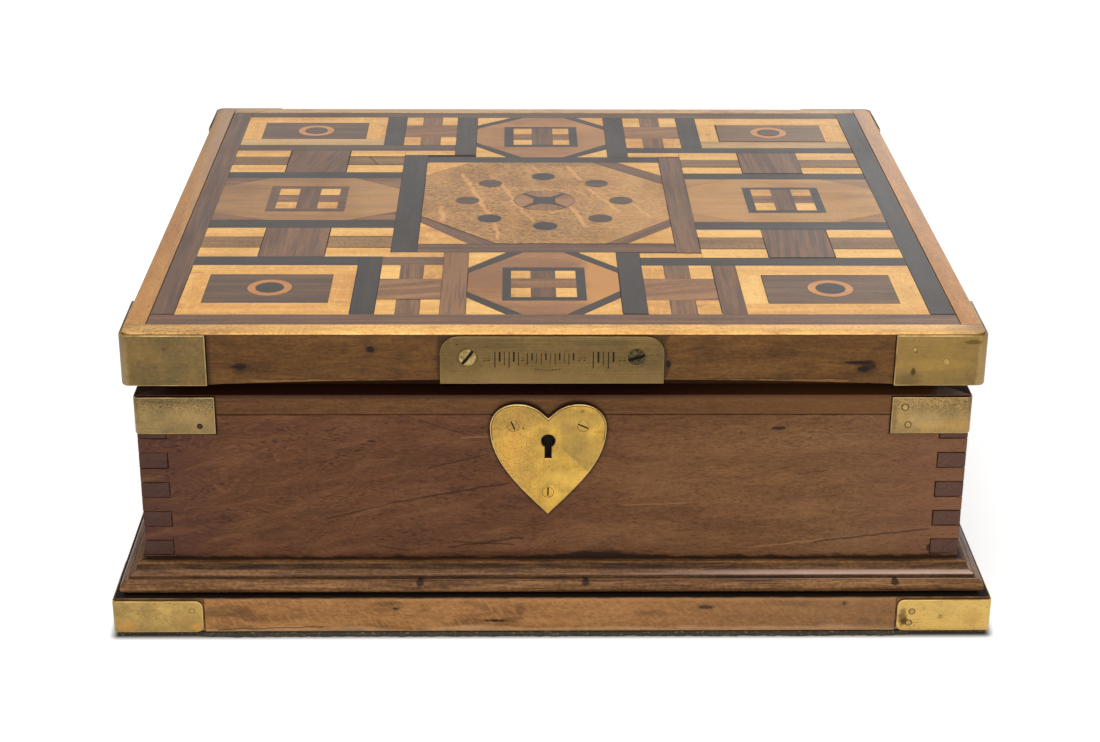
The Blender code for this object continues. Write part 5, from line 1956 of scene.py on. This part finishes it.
plate_marks = (
    (-26.0, 133.6, 16.0, 2.6, 0.35, OLIVE),
    (20.0, 134.4, 14.0, 1.8, 0.35, OLIVE),
    (42.0, 126.0, 3.5, 9.0, 0.15, OLIVE),
    (-36.3, 127.6, 3.7, 3.7, 0.85, BROWN),
    (34.2, 127.7, 3.7, 3.7, 0.85, BROWN),
    (-40.5, 133.6, 0.5, 0.4, 0.8, BROWN),
    (-42.0, 121.6, 1.0, 0.4, 0.4, BROWN),
)
plate_edge = bright_edge("plate_edge", paint(128, 106, 68), paint(182, 154, 104))
plate_olives = (paint(87, 71, 44), paint(118, 95, 57))
plate_brass = brass("plate_brass", *plate_olives, (0.5, 0.55), 30.0, 1.5, 0.4, plate_marks, plate_wear)
engraver_wax = dark_finish("engraver_wax", paint(16, 12, 8), paint(34, 25, 16))
engraved = engrave()
dark_steel = brass("dark_steel", paint(30, 24, 18), paint(112, 96, 66), (0.3, 0.4), 1.2, 1.0, 0.4)
screw_brass = brass("screw_brass", paint(104, 88, 54), paint(196, 170, 108), (0.5, 0.5), 2.0, 0.8, 0.3)
left_screw = refine("plate_screw_left", "dull_brass", (screw_brass, edge_brass), PLATE_SCREW_EDGE, 1)
right_screw = refine("plate_screw_right", "dark_steel", (dark_steel, screw_brass), PLATE_SCREW_EDGE, 1)
for screw in (left_screw, right_screw):
    darken_depths(screw, PLATE_SLOT_DEPTH, hole_dirt_and_shade)
print("faces in the engraved plate:", len(engraved.data.polygons))

# %% [markdown]
# Felt under the foot keeps the box from scratching a table. It is pressed wool with a ragged edge. It
# reaches a little past the board, most along the front and back, where its dark edge stands in for the
# shadow under the board. The copy of its solid is cut into short lengths, and each point of the edge is
# moved outwards, a little more or less by noise.

# %% Felt
FELT_STEP = 1.6 * MM
FELT_RAGGED = 0.9 * MM
FELT_TAPER = 12 * MM
FELT_ENDS = 160 * MM
# Along the front and back the felt reaches past the board; this dark edge stands in for the shadow under it.
FELT_SPREAD = 2.0 * MM
FELT_SIDE_SPREAD = 0.4 * MM
FELT_COLOURS = (paint(18, 15, 10), paint(46, 39, 27), paint(122, 108, 80))


def ragged_felt():
    low, high = (Vector(corner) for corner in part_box("felt"))
    count_x = int((high.x - low.x) / FELT_STEP)
    count_y = int((high.y - low.y) / FELT_STEP)
    model = bmesh.new()
    bmesh.ops.create_grid(model, x_segments=count_x, y_segments=count_y, size=0.5)
    bmesh.ops.scale(model, verts=model.verts, vec=(high.x - low.x, high.y - low.y, 1))
    inner = [face for face in model.faces if not any(edge.is_boundary for edge in face.edges)]
    bmesh.ops.dissolve_faces(model, faces=inner, use_verts=True)
    risen = bmesh.ops.extrude_face_region(model, geom=model.faces[:])["geom"]
    top = [part for part in risen if isinstance(part, bmesh.types.BMVert)]
    bmesh.ops.translate(model, verts=top, vec=(0, 0, high.z - low.z))
    for vertex in model.verts:
        edge_x = abs(vertex.co.x) > high.x - FELT_STEP / 2
        edge_y = abs(vertex.co.y) > high.y - FELT_STEP / 2
        push = noise.noise(vertex.co * 400) * FELT_RAGGED
        taper = min(1.0, max(0.0, (FELT_ENDS - abs(vertex.co.x)) / FELT_TAPER))
        if edge_x:
            vertex.co.x += math.copysign(push + FELT_SIDE_SPREAD, vertex.co.x)
        if edge_y:
            vertex.co.y += math.copysign(push + FELT_SPREAD * taper, vertex.co.y)
    bmesh.ops.recalc_face_normals(model, faces=model.faces)
    return model


def felt_cloth():
    finish = Finish("felt")
    x, y, z = finish.object_axes()
    fibres = finish.noise(x / 0.8, y / 0.8, z / 0.4, 4, 0.7)
    cloud = finish.noise(x / 9, y / 9, z / 2, 3)
    finish.colour = finish.ramp(fibres * 0.7 + cloud * 0.3, *FELT_COLOURS)
    fleck = finish.spots((x / 1.6, y / 1.6, z / 0.7 + 3), 0.6, 0.68, 2)
    finish.coat(fleck * 0.6, paint(140, 122, 88))
    return finish.done(0.95, finish.bump(fibres, 0.3), Sheen_Weight=0.05)


show(ragged_felt(), "felt_ragged", "felt", (felt_cloth(),), "felt")
